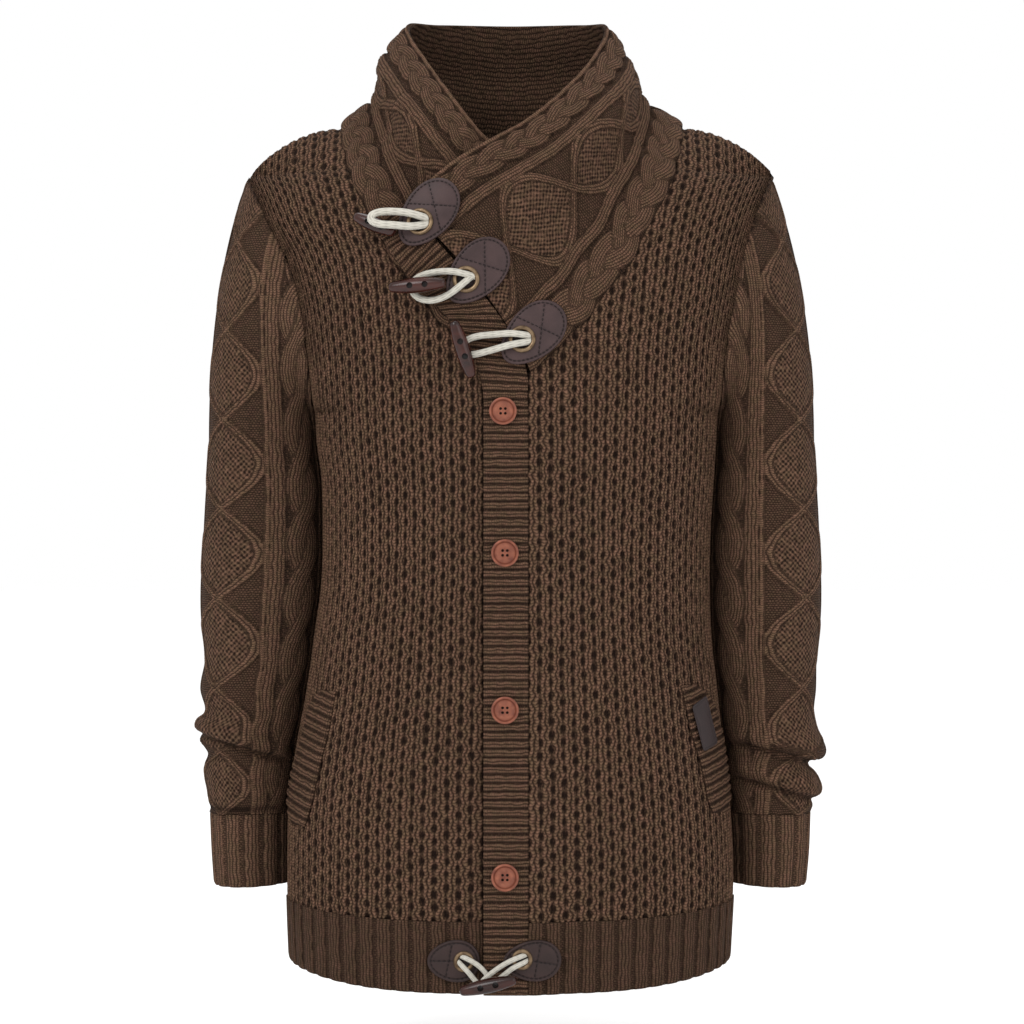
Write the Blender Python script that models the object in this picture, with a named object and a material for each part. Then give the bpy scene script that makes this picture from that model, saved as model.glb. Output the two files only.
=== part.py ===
"""Shawl collar cardigan, filled out as if worn, with nobody inside.

Row frame: +Z up, the front faces -Y, the wearer's left is +X.  The origin is between the
shoulders, level with the two neck points.  Tables are in millimetres.
"""
import math

import bmesh
import bpy
import numpy as np
from mathutils import Matrix, Vector
from mathutils.bvhtree import BVHTree

MM = 0.001
SEAM_PULL = 0.2          # each edge draws back this far, so two pieces stay 0.4 apart
COLLAR_PULL = 0.8         # the collar where it is sewn to the neckline
SEAT_GAP = 0.4            # between a piece and what it lies on
SEAT_STEP = 1.0           # how closely that gap is measured along a piece
SEAT_REACH = 60.0         # from how far off
SLIT_REACH = 1.5          # looks past the slit between two pieces
SET_IN_PULL = 1.6         # the same where a curved edge meets a curved edge: armholes, neckline
BODY_WALL = 4.0
SLEEVE_WALL = 4.0
COLLAR_WALL = 4.0
BAND_WALL = 4.0
RIB_PITCH = 15.0
WEARERS_RIGHT, WEARERS_LEFT = -1, 1
FRONT, BACK = -1, 1

# Half-widths of the body: armhole seam above the armpit, side seam below it.
#               z      right   left
BODY_EDGE = [(-725.0, 187.0, 183.0), (-705.0, 188.0, 184.0), (-629.0, 190.0, 187.0),
             (-578.0, 188.5, 184.0), (-535.0, 183.0, 179.0), (-483.0, 173.5, 173.5),
             (-437.0, 167.0, 168.5), (-391.0, 161.0, 167.0), (-346.0, 160.0, 168.0),
             (-300.0, 161.5, 171.0), (-275.0, 165.0, 172.5), (-249.0, 166.5, 174.0),
             (-190.0, 172.0, 179.0), (-150.0, 178.0, 186.0), (-120.0, 188.0, 192.0),
             (-93.0, 203.0, 200.0), (-70.0, 213.0, 209.0), (-49.0, 223.5, 219.5)]
# Depth of the front and of the back from the middle of the body.
#                z      front  back
BODY_DEPTH = [(-725.0, 117.0, 112.0), (-550.0, 116.0, 110.0), (-400.0, 114.0, 101.0),
              (-250.0, 113.0, 111.0), (-120.0, 108.0, 108.0), (-60.0, 100.0, 102.0),
              (-8.0, 92.0, 95.0)]
NECK_POINT = (145.0, -8.0)
SHOULDER_TIP_Z = -49.0
SHOULDER_TIP_X = 222.0
SHOULDER_ROUND = 75.0     # how far below the shoulder seam the body reaches its full depth
ARMPIT_Z = -249.0
ARMHOLE_MID = (SHOULDER_TIP_Z + ARMPIT_Z) / 2
ARMHOLE_HALF = (SHOULDER_TIP_Z - ARMPIT_Z) / 2
ARMHOLE_DEPTH = 57.0
# The front neckline, where the collar is sewn on.
#               z     half-width
NECKLINE = [(-232.0, 2.0), (-219.5, 16.0), (-206.5, 32.0), (-191.0, 46.0), (-177.0, 61.0),
            (-154.0, 76.5), (-129.0, 98.0), (-103.0, 110.0), (-82.0, 122.0), (-64.0, 131.0),
            (-37.0, 139.5), (-23.0, 143.0), (-8.0, 145.0)]
BACK_NECK_DROP = 24.0
NECK_SEAM_GAP = 1.0
BAND_EDGE = {WEARERS_RIGHT: 23.0, WEARERS_LEFT: 13.0}
BAND_LIFT = 7.0           # the top band lies this far in front of the under band
BAND_LIFT_REACH = 40.0
RIB_TOP_Z, RIB_TOP_RISE = -665.5, 8.0
HEM_Z, HEM_RISE = -724.0, 14.0
HEM_RIB_HEIGHT = 2.4

# Sleeve rings below the armpit: outer edge on each side, and half the depth.
#                 z     right  left   depth
SLEEVE_RINGS = [(-275.0, 256.7, 255.8, 53.0), (-346.0, 261.0, 260.0, 52.0),
                (-422.0, 263.5, 261.5, 50.0), (-458.0, 260.0, 258.0, 48.0),
                (-483.0, 264.0, 257.5, 47.0), (-506.0, 260.0, 256.0, 44.0),
                (-517.0, 266.0, 258.5, 45.0), (-528.0, 263.5, 263.0, 43.0),
                (-538.0, 257.5, 261.5, 39.0), (-548.0, 260.5, 254.0, 40.0),
                (-558.0, 260.0, 258.5, 38.0), (-573.0, 256.5, 258.0, 36.0),
                (-588.0, 256.5, 252.5, 34.5)]
CUFF_RINGS = [(-588.0, 255.0, 252.0, 34.0), (-620.0, 253.6, 250.8, 33.5),
              (-649.0, 251.6, 248.2, 33.0)]
SLEEVE_BODY_GAP = 2.5
SLEEVE_COLUMNS = 24
SLEEVE_CAP_ROWS = 6
SLEEVE_CABLE_ANGLE, SLEEVE_CABLE_SPREAD, SLEEVE_CABLE_HEIGHT = 112.0, 17.0, 3.0
CUFF_RIBS = 13
CUFF_RIB_HEIGHT = 2.2
# Where each column of the sleeve meets the armhole, both measured from the outer side.
#                  ring   armhole (degrees)
SLEEVE_TO_HOLE = [(0.0, 0.0), (45.0, 25.0), (75.0, 42.0), (98.0, 62.0), (120.0, 80.0),
                  (132.0, 95.0), (150.0, 125.0), (180.0, 180.0)]

# Collar stations from the end on top, round the back of the neck, to the end underneath.
# The seam point lies on the front or back of the body; sag and roll push the strip out.
#                 free edge x, y, z        seam x, z        face    sag    roll
COLLAR_STATIONS = [((-87.1, -108.0, -81.7), (14.6, -220.6), FRONT, 2.0, 6.0),
                   ((-50.5, -106.0, -48.9), (51.8, -185.6), FRONT, 2.0, 8.0),
                   ((-16.3, -99.0, -27.6), (76.4, -154.4), FRONT, 0.0, 10.0),
                   ((10.7, -90.0, -11.9), (104.3, -115.0), FRONT, -4.0, 12.0),
                   ((39.6, -73.0, 13.4), (125.5, -75.0), FRONT, -8.0, 13.0),
                   ((65.2, -42.0, 44.5), (139.3, -37.5), FRONT, -11.0, 8.0),
                   ((80.2, 8.0, 79.8), (145.0, -8.0), FRONT, -12.0, -2.0),
                   ((60.0, 52.0, 89.0), (100.0, -20.6), BACK, -7.0, 4.0),
                   ((0.0, 76.0, 92.0), (0.0, -32.0), BACK, 0.0, 6.0),
                   ((-62.0, 52.0, 89.0), (-100.0, -20.6), BACK, -7.0, 4.0),
                   ((-88.8, 8.0, 80.7), (-145.0, -8.0), FRONT, -10.0, 4.0),
                   ((-70.2, -42.0, 42.9), (-139.3, -37.5), FRONT, -10.0, 9.0),
                   ((-51.2, -70.0, 13.8), (-127.6, -71.0), FRONT, -8.0, 12.0),
                   ((-34.5, -84.0, -9.6), (-104.0, -115.5), FRONT, -4.0, 8.0),
                   ((-19.7, -88.0, -26.5), (-76.5, -154.2), FRONT, 0.0, 4.0),
                   ((14.7, -91.0, -49.1), (-46.3, -191.1), FRONT, 0.0, 2.0),
                   ((51.5, -93.0, -70.0), (-23.5, -214.0), FRONT, 0.0, 0.0)]
COLLAR_SPANS = (5, 11)    # between these stations the strip turns round the neck
COLLAR_SPAN_COLUMNS = 20
END_SEAM_BOW, END_SEAM_REACH = (5.6, 0.0, 7.0), 2.0   # the end seam curves towards the collar
# Across the collar from the seam (0) to the free edge (1): cables and ridges stand out.
#                share  height
COLLAR_RELIEF = [(0.0, 0.0), (0.04, 2.2), (0.11, 3.0), (0.18, 2.2), (0.21, 0.0), (0.25, 1.8),
                 (0.30, 0.4), (0.50, 0.8), (0.69, 0.4), (0.74, 1.8), (0.79, 0.0), (0.86, 2.6),
                 (0.94, 0.4), (1.0, 1.2)]
SAG_AT, ROLL_AT, FOLD_SPREAD = 0.28, 0.66, 0.2

# The band on top: its outer edge and its inner edge, from the collar's corner down.
#             outer x, z           inner x, z          depth
BAND_ROWS = [((-113.2, -103.5), (-87.6, -82.3), 106.5), ((-103.3, -114.4), (-75.0, -97.5), 109.5),
             ((-86.0, -140.0), (-60.5, -113.5), 113.0), ((-69.0, -158.0), (-33.5, -144.5), 116.0),
             ((-51.8, -175.7), (-8.5, -176.5), 118.5), ((-37.0, -196.0), (6.0, -200.0), 120.0),
             ((-26.7, -219.1), (12.5, -222.5), 120.5), ((-23.0, -240.0), (12.6, -240.0), 120.5)]
BAND_X = (-23.0, 12.6)
BAND_RIB_PITCH = 12.0
BAND_RIB_HEIGHT = 1.2
UNDER_BAND_TOP_Z = -222.0

BUTTON_SPOTS = [(-7.3, -251.5), (-5.7, -366.3), (-5.7, -493.3), (-5.7, -628.3)]
BUTTON_RADIUS, BUTTON_THICK, BUTTON_HOLE_RADIUS, BUTTON_HOLE_OFFSET = 11.2, 3.4, 1.0, 2.6

# Pocket welts: inner and outer edge down each side.
#                z     inner  outer
WELT_ROWS = {WEARERS_RIGHT: [(-481.0, 144.0, 157.0), (-492.0, 146.0, 166.0), (-514.0, 150.0, 172.5),
                             (-541.0, 157.0, 180.0), (-557.0, 160.5, 184.0), (-578.0, 165.5, 186.5),
                             (-595.0, 171.0, 182.5)],
             WEARERS_LEFT: [(-476.0, 138.0, 152.0), (-492.0, 142.0, 166.5), (-512.0, 146.0, 172.5),
                            (-541.0, 155.0, 178.0), (-557.0, 158.5, 180.0), (-571.0, 161.0, 181.0),
                            (-583.0, 165.5, 179.0)]}
WELT_LIFT, WELT_WALL, WELT_RIB_PITCH, WELT_RIB_HEIGHT = 1.2, 2.6, 11.0, 1.2
TAB_CORNERS = [(148.0, -493.0), (161.0, -484.5), (171.2, -525.2), (158.0, -531.0)]
TAB_THICK = 1.6

# Leather patches: centre, the way the long axis leans, length and width.
#           name            x      z      angle   length width
PATCHES = [("patch_top", -68.2, -90.4, 52.0, 63.0, 41.0),
           ("patch_middle", -28.3, -138.3, 48.0, 63.0, 41.0),
           ("patch_low", 17.0, -188.6, 44.0, 63.0, 41.0),
           ("patch_hem_right", -47.3, -696.9, 2.0, 43.0, 34.0),
           ("patch_hem_left", 16.6, -695.5, 2.0, 47.0, 33.0)]
PATCH_THICK, PATCH_LIFT = 2.0, 1.0
#           name              on patch           x      z     radius
EYELETS = [("eyelet_top", "patch_top", -74.6, -98.0, 11.0),
           ("eyelet_middle", "patch_middle", -37.2, -145.0, 11.0),
           ("eyelet_low", "patch_low", 8.1, -193.6, 11.0),
           ("eyelet_hem_right", "patch_hem_right", -38.8, -697.0, 8.5),
           ("eyelet_hem_left", "patch_hem_left", 8.1, -694.0, 8.5)]
EYELET_WIRE = 1.6
# Toggles from one end to the other: the top one lies under its cord, the others over theirs.
#                 name            x0      z0      x1      z1   radius
TOGGLES_UNDER = [("toggle_top", -128.0, -92.5, -95.0, -107.0, 6.2)]
TOGGLES_OVER = [("toggle_middle", -99.5, -151.9, -53.5, -148.7, 6.4),
                ("toggle_low", -47.0, -179.5, -32.4, -225.0, 6.2),
                ("toggle_hem", -42.0, -718.5, 3.4, -708.0, 6.0)]
TOGGLE_HOLE_RADIUS, TOGGLE_HOLE_SPACING = 1.9, 11.0
# Cord loops: from one strand in the eyelet, round behind the toggle and back.
CORDS = [("cord_top", 6.2,
          [(-72.0, -94.4), (-79.0, -92.2), (-95.0, -90.0), (-110.0, -91.0), (-117.0, -95.6),
           (-110.0, -100.4), (-95.0, -101.4), (-82.0, -102.6), (-76.6, -101.6)]),
         ("cord_middle", 5.5,
          [(-34.6, -141.6), (-42.0, -139.4), (-58.0, -138.8), (-74.0, -142.0), (-82.0, -149.5),
           (-78.0, -159.0), (-64.0, -162.4), (-50.0, -157.0), (-39.4, -148.4)]),
         ("cord_low", 5.5,
          [(10.2, -190.2), (2.0, -189.0), (-14.0, -190.0), (-30.0, -191.6), (-41.0, -197.6),
           (-36.0, -206.4), (-18.0, -203.0), (-4.0, -199.0), (5.6, -197.0)]),
         ("cord_hem_right", 4.2,
          [(-37.2, -694.0), (-30.0, -697.0), (-22.0, -704.0), (-18.6, -711.0), (-23.0, -716.4),
           (-29.4, -712.0), (-35.0, -705.0), (-40.4, -700.0)]),
         ("cord_hem_left", 4.2,
          [(9.6, -690.8), (2.0, -693.0), (-9.0, -699.0), (-22.0, -709.0), (-26.0, -714.6),
           (-19.0, -715.0), (-8.0, -707.4), (0.0, -700.6), (7.0, -697.4)])]
CORD_STEP = 1.2           # spacing of the cord's points, in cord diameters
CORD_CLEAR = 0.8          # between the cord and what it lies on

COLOURS = {
    "waffle_knit": ((0.060, 0.034, 0.023), 0.95, 0.0),
    "cable_knit": ((0.058, 0.032, 0.022), 0.95, 0.0),
    "rib_knit": ((0.054, 0.030, 0.021), 0.95, 0.0),
    "collar_knit": ((0.052, 0.029, 0.020), 0.95, 0.0),
    "patch_leather": ((0.105, 0.072, 0.070), 0.55, 0.0),
    "tab_leather": ((0.050, 0.033, 0.032), 0.55, 0.0),
    "button_horn": ((0.300, 0.150, 0.110), 0.35, 0.0),
    "toggle_wood": ((0.115, 0.032, 0.020), 0.25, 0.0),
    "eyelet_brass": ((0.210, 0.160, 0.100), 0.35, 1.0),
    "cord_cotton": ((0.620, 0.590, 0.560), 0.90, 0.0),
}


# ---------------------------------------------------------------- shapes of the body

def smooth(table, column, at):
    """Read a column of a table whose first column rises, with a smooth curve through it."""
    keys = np.array([row[0] for row in table], float)
    values = np.array([row[column] for row in table], float)
    slopes = np.gradient(values, keys)
    at = np.clip(np.asarray(at, float), keys[0], keys[-1])
    i = np.clip(np.searchsorted(keys, at) - 1, 0, len(keys) - 2)
    width = keys[i + 1] - keys[i]
    t = (at - keys[i]) / width
    return ((2 * t ** 3 - 3 * t ** 2 + 1) * values[i] + (t ** 3 - 2 * t ** 2 + t) * width * slopes[i]
            + (3 * t ** 2 - 2 * t ** 3) * values[i + 1] + (t ** 3 - t ** 2) * width * slopes[i + 1])


def ease(t):
    """Rise smoothly from 0 to 1 as t goes from 0 to 1."""
    t = np.clip(t, 0.0, 1.0)
    return t * t * (3 - 2 * t)


def body_edge(side, z):
    """Half-width of the body at a height, up to the armhole or the side seam."""
    return smooth(BODY_EDGE, 1 if side == WEARERS_RIGHT else 2, z)


def shoulder_z(x):
    """Height of the shoulder seam above a place across the body, carried on over the neck."""
    slope = (NECK_POINT[1] - SHOULDER_TIP_Z) / (SHOULDER_TIP_X - NECK_POINT[0])
    out = np.abs(x) - NECK_POINT[0]
    return NECK_POINT[1] - np.where(out > 0, out * slope, out * 0.35)


def edge_depth(z):
    """Half-depth of the armhole at a height; none at the side seam."""
    along = np.clip((z - ARMHOLE_MID) / ARMHOLE_HALF, -1, 1)
    return ARMHOLE_DEPTH * np.sqrt(1 - along ** 2)


def body_y(face, x, z):
    """Depth of the body's outer surface, front or back, at a place across and a height."""
    x, z = np.asarray(x, float), np.asarray(z, float)
    edge = np.where(x < 0, body_edge(WEARERS_RIGHT, z), body_edge(WEARERS_LEFT, z))
    share = np.clip(np.abs(x) / edge, 0, 1)
    square = 1.0 - 0.58 * ease((-180.0 - z) / 69.0)
    rim = edge_depth(z)
    middle = smooth(BODY_DEPTH, 1 if face == FRONT else 2, z)
    depth = rim + (middle - rim) * (1 - share ** 2.5) ** square
    drop = np.clip((shoulder_z(x) - z) / SHOULDER_ROUND, 0, 1)
    rounding = np.sqrt(1 - (1 - drop) ** 2)
    return face * (rim * rounding ** 0.35 + (depth - rim) * rounding)


def front_y(x, z):
    """The front with its wearer's left edge raised to meet the band on top."""
    near_band = (np.asarray(x, float) - BAND_EDGE[WEARERS_LEFT]) / BAND_LIFT_REACH
    lift = np.where(near_band > -0.5, BAND_LIFT * (1 - ease(near_band)), 0.0)
    return body_y(FRONT, x, z) - lift


def cloth_y(face, x, z):
    """Depth of the body on the front, with its raised edge, or on the back."""
    return front_y(x, z) if face == FRONT else body_y(BACK, x, z)


def cloth_normal(face, x, z):
    """Outward normals of the body, measured over a millimetre just below each place."""
    x, z = np.asarray(x, float), np.asarray(z, float)
    slope_x = (cloth_y(face, x + 0.5, z - 0.5) - cloth_y(face, x - 0.5, z - 0.5))
    slope_z = (cloth_y(face, x, z - 0.3) - cloth_y(face, x, z - 1.3))
    normals = np.stack([slope_x, -np.ones_like(x), slope_z], axis=-1) * -face
    return normals / np.linalg.norm(normals, axis=-1, keepdims=True)


def neck_half(z):
    """Half-width of the front neckline."""
    return smooth(NECKLINE, 1, z)


def column_x(side, share, z):
    """Columns run from the band to the edge, a fixed share of the way across."""
    start = BAND_EDGE[side]
    return side * (start + share * (body_edge(side, z) - start))


def front_top(side, share):
    """Height at which a front column meets the neckline or the shoulder seam."""
    heights = np.arange(NECK_POINT[1], NECKLINE[0][0], -0.25)
    across = np.abs(column_x(side, share, heights))
    inside = across >= neck_half(heights) + NECK_SEAM_GAP - 0.01
    inside &= heights <= shoulder_z(across) + 0.01
    return heights[np.argmax(inside)]


def hem_curve(side, share, height, rise):
    """Height of the rib's top or of the hem, lifted towards the side seams."""
    return height + rise * np.asarray(share, float) ** 3


def armhole(side, face, angle):
    """Point on the armhole; angle 0 at the shoulder tip, 180 at the armpit."""
    z = ARMHOLE_MID + ARMHOLE_HALF * math.cos(math.radians(angle))
    x = side * float(body_edge(side, z))
    return np.array([x, float(cloth_y(face, x, z)), z])


def armhole_normal(side, face, angle):
    """Direction square to the cloth along the armhole, shared by body and sleeve."""
    sine, cosine = math.sin(math.radians(angle)), math.cos(math.radians(angle))
    up = cosine * (0.85 if cosine > 0 else 1.0)
    normal = np.array([side * (0.18 * sine + 0.5 * max(cosine, 0.0)), face * sine, up])
    return normal / np.linalg.norm(normal)


# ---------------------------------------------------------------- building tools

def material(name):
    """The named finish, made once."""
    if name in bpy.data.materials:
        return bpy.data.materials[name]
    colour, roughness, metallic = COLOURS[name]
    made = bpy.data.materials.new(name)
    made.use_nodes = True
    shader = made.node_tree.nodes["Principled BSDF"]
    shader.inputs["Base Color"].default_value = (*colour, 1.0)
    shader.inputs["Roughness"].default_value = roughness
    shader.inputs["Metallic"].default_value = metallic
    return made


def add_object(name, data, finish):
    """Put a mesh or curve in the scene under its node name."""
    thing = bpy.data.objects.new(name, data)
    data.materials.append(material(finish))
    bpy.context.scene.collection.objects.link(thing)
    return thing


def add_mesh(name, points, faces, finish, triangles=True):
    """A closed mesh from points in millimetres, its faces turned outwards."""
    mesh = bpy.data.meshes.new(name)
    shell = bmesh.new()
    vertices = [shell.verts.new(Vector(point) * MM) for point in points]
    for face in faces:
        shell.faces.new([vertices[i] for i in face])
    if triangles:
        bmesh.ops.triangulate(shell, faces=shell.faces[:])
    bmesh.ops.recalc_face_normals(shell, faces=shell.faces[:])
    shell.to_mesh(mesh)
    shell.free()
    if bmesh_volume(mesh) < 0:
        mesh.flip_normals()
    mesh.shade_smooth()
    mesh.set_sharp_from_angle(angle=math.radians(40))
    return add_object(name, mesh, finish)


def bmesh_volume(mesh):
    """Signed volume of a closed mesh."""
    shell = bmesh.new()
    shell.from_mesh(mesh)
    volume = shell.calc_volume(signed=True)
    shell.free()
    return volume


def grid_normals(grid, round_columns=False):
    """Normals of a grid of points, rows by columns."""
    along = np.gradient(grid, axis=0)
    if round_columns:
        across = (np.roll(grid, -1, axis=1) - np.roll(grid, 1, axis=1)) / 2
    else:
        across = np.gradient(grid, axis=1)
    normals = np.cross(across, along)
    return normals / np.maximum(np.linalg.norm(normals, axis=2, keepdims=True), 1e-9)


def pull_edge(grids, index, inner, axis, distance):
    """Draw one edge of the outer and inner grids back along the cloth."""
    outer = np.moveaxis(grids[0], axis, 0)
    step = outer[inner] - outer[index]
    step = distance * step / np.linalg.norm(step, axis=1, keepdims=True)
    for grid in grids:
        moved = np.moveaxis(grid, axis, 0)
        moved[index] += step


def cloth_wall(name, outer, normals, thickness, finish, relief=None, round_columns=False,
               first_row=SEAM_PULL, first_column=SEAM_PULL):
    """A closed wall: relief on the outer points, a plain inside, and its edges drawn back."""
    inner = outer - thickness * normals
    grids = [outer.copy(), inner]
    pull_edge(grids, 0, 1, 0, first_row)
    pull_edge(grids, -1, -2, 0, SEAM_PULL)
    if not round_columns:
        pull_edge(grids, 0, 1, 1, first_column)
        pull_edge(grids, -1, -2, 1, SEAM_PULL)
    if relief is not None:
        grids[0] = grids[0] + relief[..., None] * normals
    rows, columns = outer.shape[:2]
    points = np.concatenate([grid.reshape(-1, 3) for grid in grids])
    count = rows * columns
    faces = []
    spans = columns if round_columns else columns - 1
    for row in range(rows - 1):
        for column in range(spans):
            following = (column + 1) % columns
            quad = (row * columns + column, row * columns + following,
                    (row + 1) * columns + following, (row + 1) * columns + column)
            faces.append(quad)
            faces.append(tuple(count + i for i in reversed(quad)))
    for row in (0, rows - 1):
        for column in range(spans):
            a, b = row * columns + column, row * columns + (column + 1) % columns
            faces.append((a, b, count + b, count + a))
    if not round_columns:
        for column in (0, columns - 1):
            for row in range(rows - 1):
                a, b = row * columns + column, (row + 1) * columns + column
                faces.append((a, b, count + b, count + a))
    return add_mesh(name, points, faces, finish)


def flat_piece(name, outline, surface, thickness, finish):
    """A thin piece on the cloth: an outline filled from its middle, surface gives its back."""
    outline = np.asarray(outline, float)
    middle = outline.mean(axis=0)
    rings = [outline, middle + 0.55 * (outline - middle)]
    back = [np.array([x, surface(x, z), z]) for ring in rings for x, z in ring]
    back.append(np.array([middle[0], surface(*middle), middle[1]]))
    front = [point - np.array([0.0, thickness, 0.0]) for point in back]
    count, sides = len(back), len(outline)
    faces = []
    for side in range(sides):
        nxt = (side + 1) % sides
        quad = (side, nxt, sides + nxt, sides + side)
        cap = (sides + side, sides + nxt, count - 1)
        faces += [quad, cap, (side, nxt, count + nxt, count + side)]
        faces += [tuple(count + i for i in quad), tuple(count + i for i in cap)]
    return add_mesh(name, back + front, faces, finish)


def lathe(name, profile, segments, base, axis, finish):
    """Turn a profile of (distance along, radius) about an axis; a last entry of None joins it up."""
    axis = Vector(axis).normalized()
    side = axis.orthogonal().normalized()
    up = axis.cross(side)
    base = Vector(base)
    points, rings = [], []
    hollow = profile[-1] is None
    for along, radius in profile[:-1] if hollow else profile:
        rings.append(list(range(len(points), len(points) + segments)))
        for k in range(segments):
            turn = 2 * math.pi * k / segments
            points.append(base + axis * along + (side * math.cos(turn) + up * math.sin(turn)) * radius)
    pairs = list(zip(rings, rings[1:]))
    faces = []
    if hollow:
        pairs.append((rings[-1], rings[0]))
    else:
        faces += [tuple(rings[0]), tuple(rings[-1])]
    for low, high in pairs:
        for k in range(segments):
            nxt = (k + 1) % segments
            faces.append((low[k], low[nxt], high[nxt], high[k]))
    return add_mesh(name, points, faces, finish, triangles=False)


def cylinder_cutter(name, centre, axis, radius, length):
    """A hidden cylinder that drills a hole."""
    start = Vector(centre) - Vector(axis).normalized() * length / 2
    profile = [(0.0, radius), (length, radius)]
    cutter = lathe(name, profile, 6, start, axis, "eyelet_brass")
    cutter.hide_render = True
    cutter.display_type = "WIRE"
    return cutter


def drill(thing, cutters):
    """Cut holes through a piece and drop the cutters."""
    for cutter in cutters:
        cut = thing.modifiers.new("hole", "BOOLEAN")
        cut.operation = "DIFFERENCE"
        cut.object = cutter


class Cover:
    """The outermost cloth, found by looking from the front."""

    def __init__(self, things):
        points, triangles, edges = [], [], []
        scene = bpy.context.evaluated_depsgraph_get()
        for thing in things:
            first = len(points)
            mesh = thing.evaluated_get(scene).to_mesh()
            points += [vertex.co / MM for vertex in mesh.vertices]
            triangles += [tuple(first + i for i in face.vertices) for face in mesh.polygons]
            edges += [tuple(first + i for i in edge.vertices) for edge in mesh.edges]
        self.points, self.edges = points, edges
        self.tree = BVHTree.FromPolygons(points, triangles)

    def y(self, x, z):
        """Depth of the first cloth behind a place seen from the front."""
        spot = self.tree.ray_cast(Vector((x, -400.0, z)), Vector((0.0, 1.0, 0.0)))[0]
        return spot.y if spot else -100.0

    def along_edges(self, step):
        """The corners, and points a step apart along every edge."""
        spots = list(self.points)
        for a, b in self.edges:
            start, end = self.points[a], self.points[b]
            count = int((end - start).length / step)
            spots += [start.lerp(end, (k + 1) / (count + 1)) for k in range(count)]
        return spots

    def forward(self, x, z, radius):
        """Depth of the foremost cloth within a radius of a place."""
        spots = [(x + radius * share * math.cos(turn), z + radius * share * math.sin(turn))
                 for turn in np.linspace(0, 2 * math.pi, 10, endpoint=False) for share in (0.0, 0.6, 1.1)]
        return min(self.y(*spot) for spot in spots)

    def fitted(self, outline, lift):
        """A smooth curved surface just in front of the cloth inside an outline."""
        outline = np.asarray(outline, float)
        middle = outline.mean(axis=0)
        spots = [middle + share * (corner - middle)
                 for corner in outline for share in np.linspace(0.1, 1.02, 9)]
        spots.append(middle)
        depth = np.array([self.forward(*spot, SLIT_REACH) for spot in spots])

        def terms(x, z):
            u, v = (x - middle[0]) / 30.0, (z - middle[1]) / 30.0
            return np.array([1.0, u, v, u * u, u * v, v * v])

        rows = np.array([terms(*spot) for spot in spots])
        weights = np.linalg.lstsq(rows, depth, rcond=None)[0]
        weights[0] += min(0.0, float((depth - rows @ weights).min())) - lift
        return lambda x, z: float(terms(x, z) @ weights)


def seat(thing, under):
    """Move a piece straight back until it is only just clear of what lies behind it."""
    piece, cover = Cover([thing]), Cover(under)
    back, forward = Vector((0.0, 1.0, 0.0)), Vector((0.0, -1.0, 0.0))
    gaps = []
    for rays, origins, way in ((cover.tree, piece.along_edges(SEAT_STEP), back),
                               (piece.tree, cover.points, forward)):
        for origin in origins:
            distance = rays.ray_cast(origin - SEAT_REACH * way, way)[3]
            if distance is not None:
                gaps.append(distance - SEAT_REACH)
    shift = min(gaps) - SEAT_GAP
    if thing.type == "CURVE":
        for spot in thing.data.splines[0].points:
            spot.co.y += shift * MM
    else:
        thing.data.transform(Matrix.Translation((0.0, shift * MM, 0.0)))
    return shift


def smooth_path(points, step):
    """Even points along a smooth curve through the given ones."""
    points = np.asarray(points, float)
    ends = np.vstack([2 * points[0] - points[1], points, 2 * points[-1] - points[-2]])
    dense = []
    for i in range(1, len(ends) - 2):
        a, b, c, d = ends[i - 1:i + 3]
        for t in np.linspace(0, 1, 12, endpoint=False):
            dense.append(0.5 * (2 * b + (c - a) * t + (2 * a - 5 * b + 4 * c - d) * t ** 2
                                + (3 * b - a - 3 * c + d) * t ** 3))
    dense = np.array(dense + [points[-1]])
    run = np.concatenate([[0], np.cumsum(np.linalg.norm(np.diff(dense, axis=0), axis=1))])
    marks = np.linspace(0, run[-1], max(3, int(round(run[-1] / step)) + 1))
    return np.stack([np.interp(marks, run, dense[:, k]) for k in range(3)], axis=1)


# ---------------------------------------------------------------- the pieces

def rises_of(low_rows, high_rows, split):
    """Heights of a panel's rows as shares of each column, close together by the armhole."""
    low = np.linspace(0, split, low_rows)
    high = split + (1 - split) * (1 - np.linspace(1, 0, high_rows) ** 1.25)
    return np.concatenate([low, high[1:]])


BODY_RISES = rises_of(6, 12, 0.6)


def panel_shares(side, start, top_of, neck_columns, shoulder_columns):
    """Columns spaced along the neckline, then along the shoulder, with one at the neck point."""
    edge = float(body_edge(side, SHOULDER_TIP_Z))
    neck = (NECK_POINT[0] + NECK_SEAM_GAP - start) / (edge - start)
    fine = np.linspace(0, neck, 120)
    tops = np.array([top_of(side, share) for share in fine])
    x = start + fine * (edge - start)
    y = body_y(FRONT, side * x, tops)
    run = np.concatenate([[0], np.cumsum(np.linalg.norm(np.diff([x, y, tops], axis=1), axis=0))])
    along_neck = np.interp(np.linspace(0, run[-1], neck_columns), run, fine)
    along_shoulder = neck + (1 - neck) * np.sin(np.linspace(0, math.pi / 2, shoulder_columns))
    return np.concatenate([along_neck, along_shoulder[1:]])


def panel_normals(grid, edges, shoulder_columns):
    """Normals of a body panel, with the side and shoulder seams square to their seam."""
    normals = cloth_normal(edges[0][1], grid[..., 0], grid[..., 2])
    for column in np.nonzero(shoulder_columns)[0]:
        normals[-1, column, 1] = 0.0
        normals[-1, column] /= np.linalg.norm(normals[-1, column])
    for side, face, column in edges:
        for row in range(grid.shape[0]):
            x, y, z = grid[row, column]
            if z <= ARMPIT_Z - 1.0:
                normals[row, column] = (side, 0.0, 0.0)
            else:
                cosine = np.clip((z - ARMHOLE_MID) / ARMHOLE_HALF, -1, 1)
                normals[row, column] = armhole_normal(side, face, math.degrees(math.acos(cosine)))
    return normals


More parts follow.
